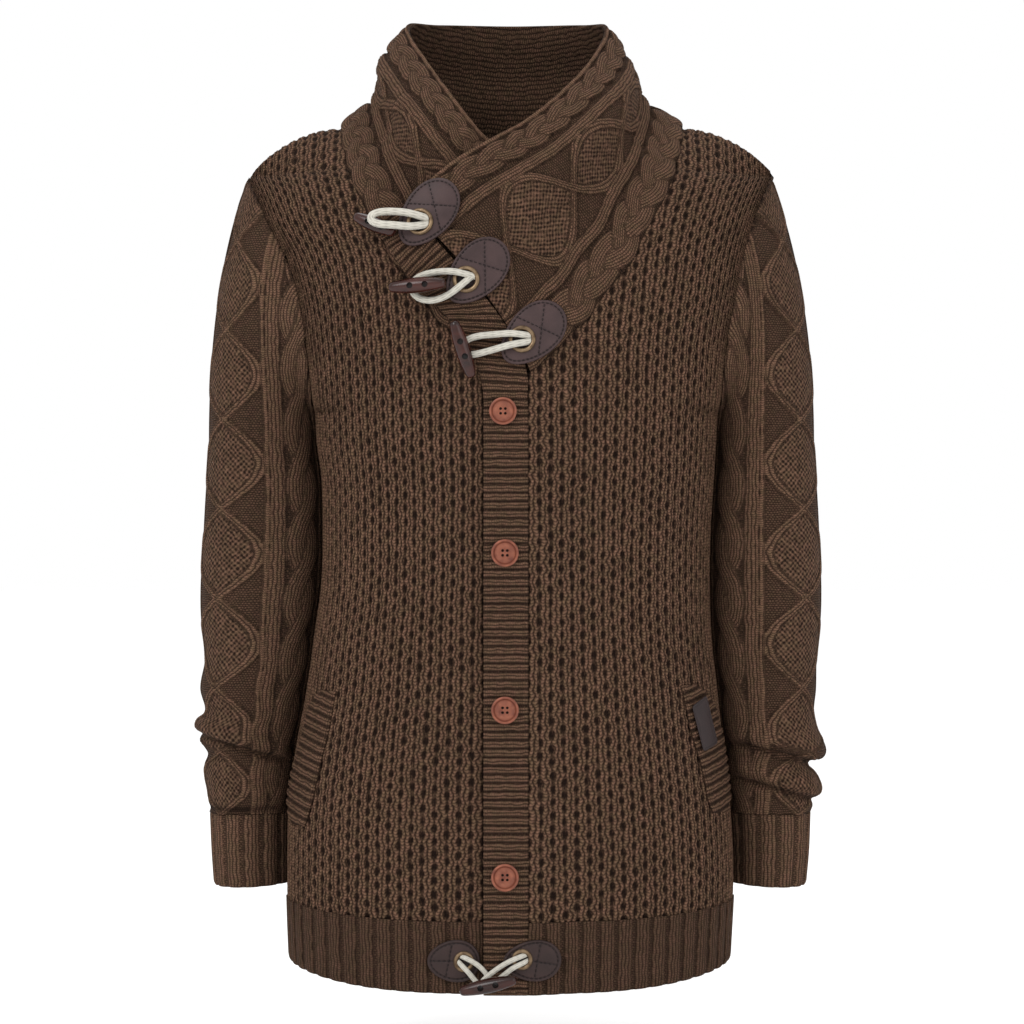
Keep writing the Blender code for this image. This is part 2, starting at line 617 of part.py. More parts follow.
def front_panel(side):
    """One front, from the rib to the neckline and shoulder."""
    shares = panel_shares(side, BAND_EDGE[side], front_top, 12, 6)
    rises = BODY_RISES
    grid = np.zeros((len(rises), len(shares), 3))
    for column, share in enumerate(shares):
        bottom = hem_curve(side, share, RIB_TOP_Z, RIB_TOP_RISE)
        z = bottom + rises * (front_top(side, share) - bottom)
        x = column_x(side, share, z)
        grid[:, column] = np.stack([x, front_y(x, z), z], axis=1)
    over_shoulder = np.abs(grid[-1, :, 0]) > NECK_POINT[0] - 1.0
    if side == WEARERS_RIGHT:
        grid, over_shoulder = grid[:, ::-1], over_shoulder[::-1]
    edge_column = 0 if side == WEARERS_RIGHT else len(shares) - 1
    normals = panel_normals(grid, [(side, FRONT, edge_column)], over_shoulder)
    normals[:, len(shares) - 1 - edge_column, 0] = 0.0
    name = "front_right" if side == WEARERS_RIGHT else "front_left"
    return cloth_wall(name, grid, normals, BODY_WALL, "waffle_knit")


def back_top(side, share):
    """Height at which a back column meets the neckline or the shoulder seam."""
    across = share * float(body_edge(side, SHOULDER_TIP_Z))
    if across > NECK_POINT[0]:
        return float(shoulder_z(across))
    return NECK_POINT[1] - NECK_SEAM_GAP - BACK_NECK_DROP * (1 - (across / NECK_POINT[0]) ** 2)


def back_panel():
    """The back, from the rib to the neckline and shoulders."""
    right = panel_shares(WEARERS_RIGHT, 0.0, back_top, 6, 6)
    left = panel_shares(WEARERS_LEFT, 0.0, back_top, 6, 6)
    shares = np.concatenate([-right[::-1], left[1:]])
    rises = BODY_RISES
    grid = np.zeros((len(rises), len(shares), 3))
    for column, share in enumerate(shares):
        side = WEARERS_RIGHT if share < 0 else WEARERS_LEFT
        bottom = hem_curve(side, abs(share), RIB_TOP_Z, RIB_TOP_RISE)
        z = bottom + rises * (back_top(side, abs(share)) - bottom)
        x = side * abs(share) * body_edge(side, z)
        grid[:, column] = np.stack([x, body_y(BACK, x, z), z], axis=1)
    grid = grid[:, ::-1]
    over_shoulder = np.abs(grid[-1, :, 0]) > NECK_POINT[0] - 1.0
    edges = [(WEARERS_LEFT, BACK, 0), (WEARERS_RIGHT, BACK, -1)]
    normals = panel_normals(grid, edges, over_shoulder)
    return cloth_wall("back", grid, normals, BODY_WALL, "waffle_knit")


def even_shares(face, side, height, count, start):
    """Shares across the body that are evenly spaced along the cloth."""
    fine = np.sin(np.linspace(0, math.pi / 2, 200))
    edge = float(body_edge(side, height))
    x = start + fine * (edge - start)
    y = body_y(face, side * x, np.full_like(x, height))
    run = np.concatenate([[0], np.cumsum(np.hypot(np.diff(x), np.diff(y)))])
    ribs = max(2, int(round(run[-1] / count)))
    return np.interp(np.linspace(0, run[-1], 2 * ribs + 1), run, fine)


def hem_piece(name, columns, face, surface):
    """A length of the ribbed hem; columns are (side, share, start) from one end to the other."""
    rows = []
    for lower in (1.0, 0.5, 0.0):
        row = []
        for side, share, start in columns:
            top = float(hem_curve(side, share, RIB_TOP_Z - SEAM_PULL, RIB_TOP_RISE))
            bottom = float(hem_curve(side, share, HEM_Z, HEM_RISE))
            z = top + lower * (bottom - top)
            x = side * (start + share * (float(body_edge(side, z)) - start))
            row.append((x, float(surface(x, z)), z))
        rows.append(row)
    grid = np.array(rows)
    if face == BACK:
        grid = grid[:, ::-1]
    normals = grid_normals(grid)
    for end in (0, -1):
        if abs(grid[0, end, 0]) > 100.0:
            normals[:, end] = (math.copysign(1.0, grid[0, end, 0]), 0.0, 0.0)
    relief = np.zeros(grid.shape[:2])
    relief[:, 1::2] = HEM_RIB_HEIGHT
    return cloth_wall(name, grid, normals, BODY_WALL - 1.0, "rib_knit", relief)


def hem():
    """The hem rib in three lengths, meeting at the side seams."""
    made = []
    for side, name in ((WEARERS_RIGHT, "hem_right"), (WEARERS_LEFT, "hem_left")):
        start = BAND_EDGE[side]
        shares = even_shares(FRONT, side, HEM_Z, RIB_PITCH, start)
        columns = [(side, float(share), start) for share in shares]
        made.append(hem_piece(name, columns[::side], FRONT, front_y))
    right = even_shares(BACK, WEARERS_RIGHT, HEM_Z, RIB_PITCH, 0.0)
    left = even_shares(BACK, WEARERS_LEFT, HEM_Z, RIB_PITCH, 0.0)
    columns = [(WEARERS_RIGHT, float(share), 0.0) for share in right[::-1]]
    columns += [(WEARERS_LEFT, float(share), 0.0) for share in left[1:]]
    made.append(hem_piece("hem_back", columns, BACK, lambda x, z: body_y(BACK, x, z)))
    return made


def sleeve_ring(side, rings, z, angles):
    """Points round the sleeve at a height; angle 0 faces away from the body, 90 forwards."""
    table = sorted(rings)
    outer = float(smooth(table, 1 if side == WEARERS_RIGHT else 2, z))
    inner = float(body_edge(side, z)) + SLEEVE_BODY_GAP
    depth = float(smooth(table, 3, z))
    centre, half = (outer + inner) / 2, (outer - inner) / 2
    x = side * (centre + half * np.cos(angles))
    return np.stack([x, -depth * np.sin(angles), np.full_like(x, z)], axis=1)


def sleeve_cap(side, angles):
    """Rows from the armhole down to the first ring, column by column."""
    top_z = SLEEVE_RINGS[0][0]
    ring = sleeve_ring(side, SLEEVE_RINGS, top_z, angles)
    rows = np.zeros((SLEEVE_CAP_ROWS, len(angles), 3))
    for column, angle in enumerate(angles):
        degrees = abs(math.degrees(math.atan2(math.sin(angle), math.cos(angle))))
        hole = float(smooth(SLEEVE_TO_HOLE, 1, degrees))
        face = FRONT if math.sin(angle) > 0 else BACK
        start = armhole(side, face, hole)
        reach = np.linalg.norm(ring[column] - start)
        cosine, sine = math.cos(math.radians(hole)), math.sin(math.radians(hole))
        leave = np.array([side * (0.2 + 0.15 * cosine), face * 0.1 * sine, -0.95]) * reach
        arrive = np.array([0.0, 0.0, -reach])
        for row, t in enumerate(np.linspace(0, 1, SLEEVE_CAP_ROWS, endpoint=False)):
            rows[row, column] = ((2 * t ** 3 - 3 * t ** 2 + 1) * start + (t ** 3 - 2 * t ** 2 + t) * leave
                                 + (3 * t ** 2 - 2 * t ** 3) * ring[column] + (t ** 3 - t ** 2) * arrive)
    return rows


def sleeve(side):
    """One sleeve, armhole to cuff, with its front and back cable standing out."""
    angles = np.linspace(0, 2 * math.pi, SLEEVE_COLUMNS, endpoint=False)
    rings = [sleeve_ring(side, SLEEVE_RINGS, row[0], angles) for row in SLEEVE_RINGS]
    grid = np.concatenate([sleeve_cap(side, angles), np.array(rings)])
    grid[-1, :, 2] += SEAM_PULL
    normals = grid_normals(grid, round_columns=True) * side
    for column, angle in enumerate(angles):
        degrees = abs(math.degrees(math.atan2(math.sin(angle), math.cos(angle))))
        face = FRONT if math.sin(angle) > 0 else BACK
        normals[0, column] = armhole_normal(side, face, float(smooth(SLEEVE_TO_HOLE, 1, degrees)))
    degrees = np.abs(np.degrees(np.arctan2(np.sin(angles), np.cos(angles))))
    bump = np.clip(1 - np.abs(degrees - SLEEVE_CABLE_ANGLE) / SLEEVE_CABLE_SPREAD, 0, 1)
    relief = np.tile(SLEEVE_CABLE_HEIGHT * bump, (grid.shape[0], 1))
    relief[:2] = 0.0
    name = "sleeve_right" if side == WEARERS_RIGHT else "sleeve_left"
    return cloth_wall(name, grid, normals, SLEEVE_WALL, "cable_knit", relief, True, SET_IN_PULL)


def cuff(side):
    """One ribbed cuff below its sleeve."""
    angles = np.linspace(0, 2 * math.pi, 2 * CUFF_RIBS, endpoint=False)
    heights = [row[0] for row in CUFF_RINGS]
    grid = np.array([sleeve_ring(side, CUFF_RINGS, z, angles) for z in heights])
    grid[0, :, 2] -= SEAM_PULL
    normals = grid_normals(grid, round_columns=True) * side
    relief = np.zeros(grid.shape[:2])
    relief[:, ::2] = CUFF_RIB_HEIGHT
    name = "cuff_right" if side == WEARERS_RIGHT else "cuff_left"
    return cloth_wall(name, grid, normals, SLEEVE_WALL - 1.0, "rib_knit", relief, True)


def collar():
    """The shawl collar, one strip sewn round the neckline, its end on top over the other."""
    free = [edge for edge, _, _, _, _ in COLLAR_STATIONS]
    seam = [(x, float(cloth_y(face, x, z)), z) for _, (x, z), face, _, _ in COLLAR_STATIONS]
    push = [(sag, roll) for _, _, _, sag, roll in COLLAR_STATIONS]
    marks = np.arange(len(free), dtype=float)
    first, last = COLLAR_SPANS
    round_neck = np.linspace(first, last, COLLAR_SPAN_COLUMNS + 1)
    steps = np.concatenate([marks[:first], round_neck, marks[last + 1:]])

    def spread(values):
        values = np.asarray(values, float)
        return np.stack([smooth(list(zip(marks, values[:, k])), 1, steps)
                         for k in range(values.shape[1])], axis=1)

    free, seam, push = spread(free), spread(seam), spread(push)
    for point in seam:
        if point[1] < -1.0:
            point[0] = math.copysign(float(neck_half(point[2])), point[0])
        if abs(point[1]) > 1.0:
            point[1] = cloth_y(FRONT if point[1] < 0 else BACK, point[0], point[2])
    shares = np.array([row[0] for row in COLLAR_RELIEF])
    grid = seam[:, None] + shares[None, :, None] * (free - seam)[:, None]
    bow = np.sin(np.pi * shares ** 0.75)[None, :] * np.clip(1 - steps / END_SEAM_REACH, 0, 1)[:, None]
    grid = grid + bow[..., None] * np.array(END_SEAM_BOW)
    normals = -grid_normals(grid)
    sag = np.exp(-((shares - SAG_AT) / FOLD_SPREAD) ** 2) * np.sin(np.pi * shares) ** 0.5
    roll = np.exp(-((shares - ROLL_AT) / FOLD_SPREAD) ** 2) * np.sin(np.pi * shares) ** 0.5
    grid = grid + (push[:, :1] * sag + push[:, 1:] * roll)[..., None] * normals
    normals = -grid_normals(grid)
    for k, (x, y, z) in enumerate(seam):
        normals[k, 0] = cloth_normal(FRONT if y < 0 else BACK, x, z)
    relief = np.tile([row[1] for row in COLLAR_RELIEF], (len(steps), 1))
    return cloth_wall("collar", grid, normals, COLLAR_WALL, "collar_knit", relief,
                      first_row=1.0, first_column=COLLAR_PULL)


def top_band():
    """The band on top: the collar's slanting end band running on down the front, ribs across."""
    outer = np.array([(*row[0], row[2]) for row in BAND_ROWS])
    inner = np.array([(*row[1], row[2]) for row in BAND_ROWS])
    top_z = BAND_ROWS[-1][0][1]
    rows = int(round((top_z - HEM_Z) / BAND_RIB_PITCH))
    for z in np.linspace(top_z, HEM_Z, rows + 1)[1:]:
        depth = -float(body_y(FRONT, 0.0, z)) + BAND_LIFT
        outer = np.vstack([outer, (BAND_X[0], z, depth)])
        inner = np.vstack([inner, (BAND_X[1], z, depth)])

    def resample(edge):
        marks = np.arange(len(edge), dtype=float)
        fine = np.linspace(0, marks[-1], 2 * (len(edge) - 1) + 1)
        return np.stack([np.interp(fine, marks, edge[:, k]) for k in range(3)], axis=1)

    outer, inner = resample(outer), resample(inner)
    across = np.linspace(0, 1, 2)
    grid = outer[:, None] + across[None, :, None] * (inner - outer)[:, None]
    grid = np.stack([grid[..., 0], -grid[..., 2], grid[..., 1]], axis=2)
    normals = np.tile(np.array([0.0, -1.0, 0.0]), grid.shape[:2] + (1,))
    relief = np.zeros(grid.shape[:2])
    relief[1::2] = BAND_RIB_HEIGHT
    return cloth_wall("band_top", grid, normals, BAND_WALL, "rib_knit", relief)


def under_band():
    """The band behind, which carries the buttons."""
    heights = np.linspace(UNDER_BAND_TOP_Z, HEM_Z + 1.5, 12)
    x = np.linspace(-BAND_EDGE[WEARERS_RIGHT], BAND_X[1] - 1.0, 3)
    grid = np.array([[(a, float(body_y(FRONT, a, z)), z) for a in x] for z in heights])
    normals = np.tile(np.array([0.0, -1.0, 0.0]), grid.shape[:2] + (1,))
    return cloth_wall("band_under", grid, normals, BAND_WALL, "rib_knit")


def pocket_welt(side):
    """A curved welt on the front by the side seam, ribs across it."""
    rows = WELT_ROWS[side]
    top, bottom = rows[0][0], rows[-1][0]
    count = 2 * int(round((top - bottom) / WELT_RIB_PITCH)) + 1
    heights = np.linspace(top, bottom, count)
    table = sorted(rows)
    inner, outer = smooth(table, 1, heights), smooth(table, 2, heights)
    across = np.sin(np.linspace(0, math.pi / 2, 5))
    x = side * (inner[:, None] + across[None, :] * (outer - inner)[:, None])
    limit = 0.992 * body_edge(side, heights)[:, None]
    x = side * np.minimum(np.abs(x), limit)
    z = np.tile(heights[:, None], (1, len(across)))
    grid = np.stack([x, body_y(FRONT, x, z), z], axis=2)
    if side == WEARERS_RIGHT:
        grid = grid[:, ::-1]
    normals = -grid_normals(grid)
    grid = grid + (WELT_LIFT + WELT_WALL) * normals
    relief = np.zeros(grid.shape[:2])
    relief[1::2] = WELT_RIB_HEIGHT
    name = "welt_right" if side == WEARERS_RIGHT else "welt_left"
    return cloth_wall(name, grid, normals, WELT_WALL, "rib_knit", relief)


def oval(x, z, angle, length, width):
    """Outline of a leather patch, a little narrower at its low end."""
    lean = math.radians(angle)
    outline = []
    for turn in np.linspace(0, 2 * math.pi, 18, endpoint=False):
        along = length / 2 * math.cos(turn)
        across = width / 2 * math.sin(turn) * (1 + 0.14 * math.cos(turn))
        outline.append((x + along * math.cos(lean) - across * math.sin(lean),
                        z + along * math.sin(lean) + across * math.cos(lean)))
    return outline


def surface_normal(surface, x, z):
    """Forward normal of a depth surface."""
    slope_x = surface(x + 1.0, z) - surface(x - 1.0, z)
    slope_z = surface(x, z + 1.0) - surface(x, z - 1.0)
    return Vector((slope_x / 2, -1.0, slope_z / 2)).normalized()


def leather_patches(cloth):
    """The five patches; returns each one's front surface by name."""
    cover = Cover(cloth)
    fronts = {}
    for name, x, z, angle, length, width in PATCHES:
        outline = oval(x, z, angle, length, width)
        surface = cover.fitted(outline, PATCH_LIFT)
        patch = flat_piece(name, outline, surface, PATCH_THICK, "patch_leather")
        offset = seat(patch, cloth) - PATCH_THICK
        fronts[name] = lambda a, b, surface=surface, offset=offset: surface(a, b) + offset
    return fronts


def eyelets(fronts):
    """A metal ring on each patch."""
    for name, patch, x, z, radius in EYELETS:
        surface = fronts[patch]
        normal = surface_normal(surface, x, z)
        centre = Vector((x, surface(x, z), z))
        highest = 0.0
        for turn in np.linspace(0, 2 * math.pi, 16, endpoint=False):
            a, b = x + radius * math.cos(turn), z + radius * math.sin(turn)
            spot = Vector((a, surface(a, b), b))
            highest = max(highest, (spot - centre).dot(normal))
        front = centre + normal * (highest + 0.8)
        wire = EYELET_WIRE
        profile = [(0.0, radius), (wire * 0.8, radius - wire * 0.25), (wire, radius - wire),
                   (wire * 0.6, radius - 1.8 * wire), (0.0, radius - 2 * wire), None]
        ring = lathe(name, profile, 14, front, normal, "eyelet_brass")
        seat(ring, [bpy.data.objects[patch]])


def buttons(cover):
    """Four-hole buttons on the band, with a raised rim."""
    for number, (x, z) in enumerate(BUTTON_SPOTS, start=1):
        highest = min(cover.y(x + a, z + b) for a in (-8, 0, 8) for b in (-8, -4, 0, 4, 8))
        base = Vector((x, highest - 0.35, z))
        radius, thick = BUTTON_RADIUS, BUTTON_THICK
        profile = [(0.0, radius * 0.82), (thick * 0.45, radius), (thick * 0.85, radius),
                   (thick, radius * 0.9), (thick * 0.65, radius * 0.74)]
        button = lathe(f"button_{number}", profile, 18, base, (0, -1, 0), "button_horn")
        cutters = []
        for k in range(4):
            turn = math.pi / 4 + math.pi / 2 * k
            spot = (x + BUTTON_HOLE_OFFSET * math.cos(turn), base.y - thick / 2,
                    z + BUTTON_HOLE_OFFSET * math.sin(turn))
            cutter_name = f"cutter_button_{number}_{k}"
            cutters.append(cylinder_cutter(cutter_name, spot, (0, 1, 0), BUTTON_HOLE_RADIUS, 3 * thick))
        drill(button, cutters)


def toggles(rows, under):
    """Spindle toggles with two holes each, lying on what is under them."""
    cover = Cover(under)
    made = []
    for name, x0, z0, x1, z1, radius in rows:
        marks = np.linspace(0, 1, 9)
        widths = radius * (1.04 - np.abs(2 * marks - 1) ** 2.6) ** 0.62
        depth = [cover.forward(x0 + t * (x1 - x0), z0 + t * (z1 - z0), width)
                 for t, width in zip(marks, widths)]
        slope = (depth[-1] - depth[0]) * 0.5
        base = min(d - slope * (t - 0.5) for d, t in zip(depth, marks)) - radius - CORD_CLEAR
        start, end = Vector((x0, base - slope / 2, z0)), Vector((x1, base + slope / 2, z1))
        length = (end - start).length
        profile = [(length * t, radius * (1.04 - abs(2 * t - 1) ** 2.6) ** 0.62)
                   for t in (0.0, 0.05, 0.16, 0.33, 0.5, 0.67, 0.84, 0.95, 1.0)]
        toggle = lathe(name, profile, 10, start, end - start, "toggle_wood")
        middle = (start + end) / 2 + Vector((0.0, seat(toggle, under), 0.0))
        cutters = []
        for k, share in enumerate((-0.5, 0.5)):
            spot = middle + (end - start).normalized() * share * TOGGLE_HOLE_SPACING
            cutter_name = f"cutter_{name}_{k}"
            cutters.append(cylinder_cutter(cutter_name, spot, (0, 1, 0), TOGGLE_HOLE_RADIUS, 4 * radius))
        drill(toggle, cutters)
        made.append(toggle)
    return made


def cord_path(cover, diameter, route):
    """A cord's centre line, from the eyelet over whatever lies behind it and back."""
    radius = diameter / 2
    flat = smooth_path([(x, 0.0, z) for x, z in route], 0.5 * diameter)
    depth = np.array([cover.forward(x, z, radius) for x, _, z in flat]) - radius - CORD_CLEAR
    window = 3
    padded = np.pad(depth, window, mode="edge")
    held = np.array([padded[k:k + 2 * window + 1].min() for k in range(len(depth))])
    for _ in range(2):
        padded = np.pad(held, window, mode="edge")
        held = np.array([padded[k:k + 2 * window + 1].mean() for k in range(len(depth))])
    flat[:, 1] = held + min(0.0, float((depth - held).min()))
    return smooth_path(flat, CORD_STEP * diameter)


def cords(under):
    """Cord loops from each eyelet, as tubes with closed ends, each over the one before."""
    made = []
    for name, diameter, route in CORDS:
        curve = bpy.data.curves.new(name, "CURVE")
        curve.dimensions = "3D"
        curve.bevel_depth = diameter / 2 * MM
        curve.bevel_resolution = 2
        curve.use_fill_caps = True
        path = cord_path(Cover(under + made), diameter, route)
        spline = curve.splines.new("POLY")
        spline.points.add(len(path) - 1)
        for spot, point in zip(spline.points, path):
            spot.co = (*(point * MM), 1.0)
        cord = add_object(name, curve, "cord_cotton")
        seat(cord, under + made)
        made.append(cord)
    return made


def leather_tab(cloth):
    """The blank tab on the wearer's left welt."""
    corners = np.array(TAB_CORNERS)
    outline = [corners[k] + t * (corners[(k + 1) % 4] - corners[k]) for k in range(4) for t in (0.0, 0.5)]
    surface = Cover(cloth).fitted(outline, PATCH_LIFT)
    tab = flat_piece("welt_tab", outline, surface, TAB_THICK, "tab_leather")
    seat(tab, cloth)


def build():
    """Make every piece, cloth first, then what lies on it."""
    for thing in list(bpy.data.objects):
        bpy.data.objects.remove(thing)
    fronts = [front_panel(WEARERS_RIGHT), front_panel(WEARERS_LEFT)]
    back_panel()
    hems = hem()
    for side in (WEARERS_RIGHT, WEARERS_LEFT):
        sleeve(side)
        cuff(side)
    cloth = fronts + hems + [collar(), top_band()]
    under_band()
    welts = [pocket_welt(WEARERS_RIGHT), pocket_welt(WEARERS_LEFT)]
    buttons(Cover(cloth))
    leather_tab(cloth + welts)
    eyelets(leather_patches(cloth))
    patches = [bpy.data.objects[row[0]] for row in PATCHES]
    rings = [bpy.data.objects[row[0]] for row in EYELETS]
    under = cloth + patches + rings
    under += toggles(TOGGLES_UNDER, under)
    toggles(TOGGLES_OVER, under + cords(under))


build()
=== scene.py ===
"""Shawl collar cardigan: knitted pieces, leather patches, buttons, toggles, eyelets and cord loops.

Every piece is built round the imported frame, in its axes: +Z up, the front faces -Y and the wearer's
left is +X.  Sizes are in millimetres until a mesh is written.
"""

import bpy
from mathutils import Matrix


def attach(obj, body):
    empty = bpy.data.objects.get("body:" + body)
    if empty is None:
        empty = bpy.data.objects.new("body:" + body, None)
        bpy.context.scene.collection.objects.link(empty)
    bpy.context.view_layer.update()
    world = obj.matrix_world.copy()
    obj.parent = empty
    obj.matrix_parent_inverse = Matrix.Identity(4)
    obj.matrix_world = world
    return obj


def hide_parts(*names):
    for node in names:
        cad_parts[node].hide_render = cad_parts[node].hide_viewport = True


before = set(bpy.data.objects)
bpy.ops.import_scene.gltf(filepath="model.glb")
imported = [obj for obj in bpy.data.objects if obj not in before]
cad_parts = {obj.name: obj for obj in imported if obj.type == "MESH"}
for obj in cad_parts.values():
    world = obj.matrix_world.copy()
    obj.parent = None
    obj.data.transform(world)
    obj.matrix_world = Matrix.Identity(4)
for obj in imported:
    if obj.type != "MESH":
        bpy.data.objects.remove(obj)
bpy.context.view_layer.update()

import logging
import math
from dataclasses import dataclass, field
from enum import Enum, IntEnum
from typing import Optional, Sequence

import bpy
import numpy as np
from mathutils import Matrix, Vector
from mathutils.bvhtree import BVHTree

logging.basicConfig(level=logging.INFO, format="%(message)s")
log = logging.getLogger("cardigan")

Array = np.ndarray
Piece = bpy.types.Object
Socket = bpy.types.NodeSocket
Colour = tuple[float, float, float, float]
Corners = list[tuple[int, ...]]
Spot = tuple[float, float]
MM = 0.001
BODY = "root"


class Way(IntEnum):
    """One of two opposite ways, as a sign."""

    @property
    def column(self) -> int:
        """The column of a table that holds this way's values."""
        return 1 if self < 0 else 2

    def node(self, start: str) -> str:
        """The name of a node on this side."""
        return f"{start}_{self.name.lower()}"


class Side(Way):
    """Which side of the wearer."""

    RIGHT = -1
    LEFT = 1


class Face(Way):
    """Front or back of the garment."""

    FRONT = -1
    BACK = 1


class Stitch(Enum):
    """Kinds of knitted ground, as the share of purl in each."""

    KNIT = 0.0
    PURL = 1.0


# ---- curves and tables

def hermite(t: Array, start: Array, leave: Array, end: Array, arrive: Array) -> Array:
    """A smooth curve between two places, with its directions at both ends given."""
    return ((2 * t ** 3 - 3 * t ** 2 + 1) * start + (t ** 3 - 2 * t ** 2 + t) * leave
            + (3 * t ** 2 - 2 * t ** 3) * end + (t ** 3 - t ** 2) * arrive)


def smooth(rows: Sequence[Sequence[float]], column: int, at: Array) -> Array:
    """Read a column of a table whose first column rises, with a smooth curve through it.

    Args:
        rows: the table.
        column: the column to read.
        at: values of the first column.

    Returns:
        The column's value at each place, held level past the ends.
    """
    keys, values = (np.array([row[k] for row in rows], float) for k in (0, column))
    slopes = np.gradient(values, keys)
    at = np.clip(np.asarray(at, float), keys[0], keys[-1])
    i = np.clip(np.searchsorted(keys, at) - 1, 0, len(keys) - 2)
    width = keys[i + 1] - keys[i]
    return hermite((at - keys[i]) / width, values[i], width * slopes[i], values[i + 1], width * slopes[i + 1])


def smooth_columns(values: Array, at: Array) -> Array:
    """Read evenly spaced rows of values at places between them, with a smooth curve through each column."""
    rows = np.column_stack([np.arange(len(values)), values])
    return np.stack([smooth(rows, k + 1, at) for k in range(values.shape[1])], axis=1)


def ease(t: Array) -> Array:
    """Rise smoothly from 0 to 1 as t goes from 0 to 1."""
    t = np.clip(t, 0.0, 1.0)
    return t * t * (3 - 2 * t)


def run_of(points: Array) -> Array:
    """Distance travelled along a row of points, from 0 at the first."""
    steps = np.linalg.norm(np.diff(points, axis=0), axis=-1)
    return np.concatenate([np.zeros((1,) + steps.shape[1:]), np.cumsum(steps, axis=0)])


def points_along(line: Array, run: Array, marks: Array) -> Array:
    """Points on a line at distances along it."""
    return np.stack([np.interp(marks, run, line[:, k]) for k in range(line.shape[1])], axis=1)


def grid_quads(rows: int, columns: int, wrap: bool = True, ring: bool = False) -> Array:
    """Four-sided faces of a grid of points.

    Args:
        rows: rows of points.
        columns: points in a row.
        wrap: whether each row closes on itself.
        ring: whether the last row meets the first.

    Returns:
        The indices of each face's corners.
    """
    row, column = np.meshgrid(np.arange(rows if ring else rows - 1),
        np.arange(columns if wrap else columns - 1), indexing="ij")
    after, below = (column + 1) % columns, (row + 1) % rows
    return np.stack([row * columns + column, row * columns + after, below * columns + after,
        below * columns + column], axis=-1).reshape(-1, 4)


def end_caps(sides: int, last: int) -> Corners:
    """Faces that close the two ends of a tube, given the first point of its last ring."""
    return [tuple(range(sides))[::-1], tuple(range(last, last + sides))]


def circle(count: int) -> Array:
    """Angles evenly round a circle."""
    return np.linspace(0, 2 * math.pi, count, endpoint=False)


def dome(t: Array, power: float = 0.5) -> Array:
    """Round cross-section of a strand: 1 at t = 0 and 0 from t = 1 on."""
    return np.maximum(0.0, 1.0 - np.asarray(t, float) ** 2) ** power


def dip(distance: Array, reach: float) -> Array:
    """1 at a line, falling off smoothly on both sides of it."""
    return np.exp(-(distance / reach) ** 2)


def unevenness(x: Array, y: Array, seed: int) -> Array:
    """Smooth chance values from -1 to 1, a new one at each whole step of x and of y.

    Args:
        x: places across.
        y: places along.
        seed: starts the chance numbers.

    Returns:
        The values.
    """
    x, y = np.broadcast_arrays(np.asarray(x, float), np.asarray(y, float))
    column, row = np.floor(x).astype(int), np.floor(y).astype(int)
    size = 64
    table = np.random.default_rng(seed).uniform(-1, 1, (size, size))
    s, t = ease(x - column), ease(y - row)
    low, high = (table[(row + k) % size, column % size] * (1 - s)
        + table[(row + k) % size, (column + 1) % size] * s for k in (0, 1))
    return low * (1 - t) + high * t


def smooth_path(points: Array, step: float) -> Array:
    """Even points along a smooth curve through the given ones.

    Args:
        points: the places the curve goes through.
        step: distance between the points returned.

    Returns:
        The points along the curve.
    """
    points = np.asarray(points, float)
    ends = np.vstack([2 * points[0] - points[1], points, 2 * points[-1] - points[-2]])
    dense = []
    for i in range(1, len(ends) - 2):
        a, b, c, d = ends[i - 1:i + 3]
        for t in np.linspace(0, 1, 12, endpoint=False):
            dense.append(0.5 * (2 * b + (c - a) * t + (2 * a - 5 * b + 4 * c - d) * t ** 2
                + (3 * b - a - 3 * c + d) * t ** 3))
    line = np.array(dense + [points[-1]])
    run = run_of(line)
    marks = np.linspace(0, run[-1], max(3, int(round(run[-1] / step)) + 1))
    return points_along(line, run, marks)


# ---- the body's shape

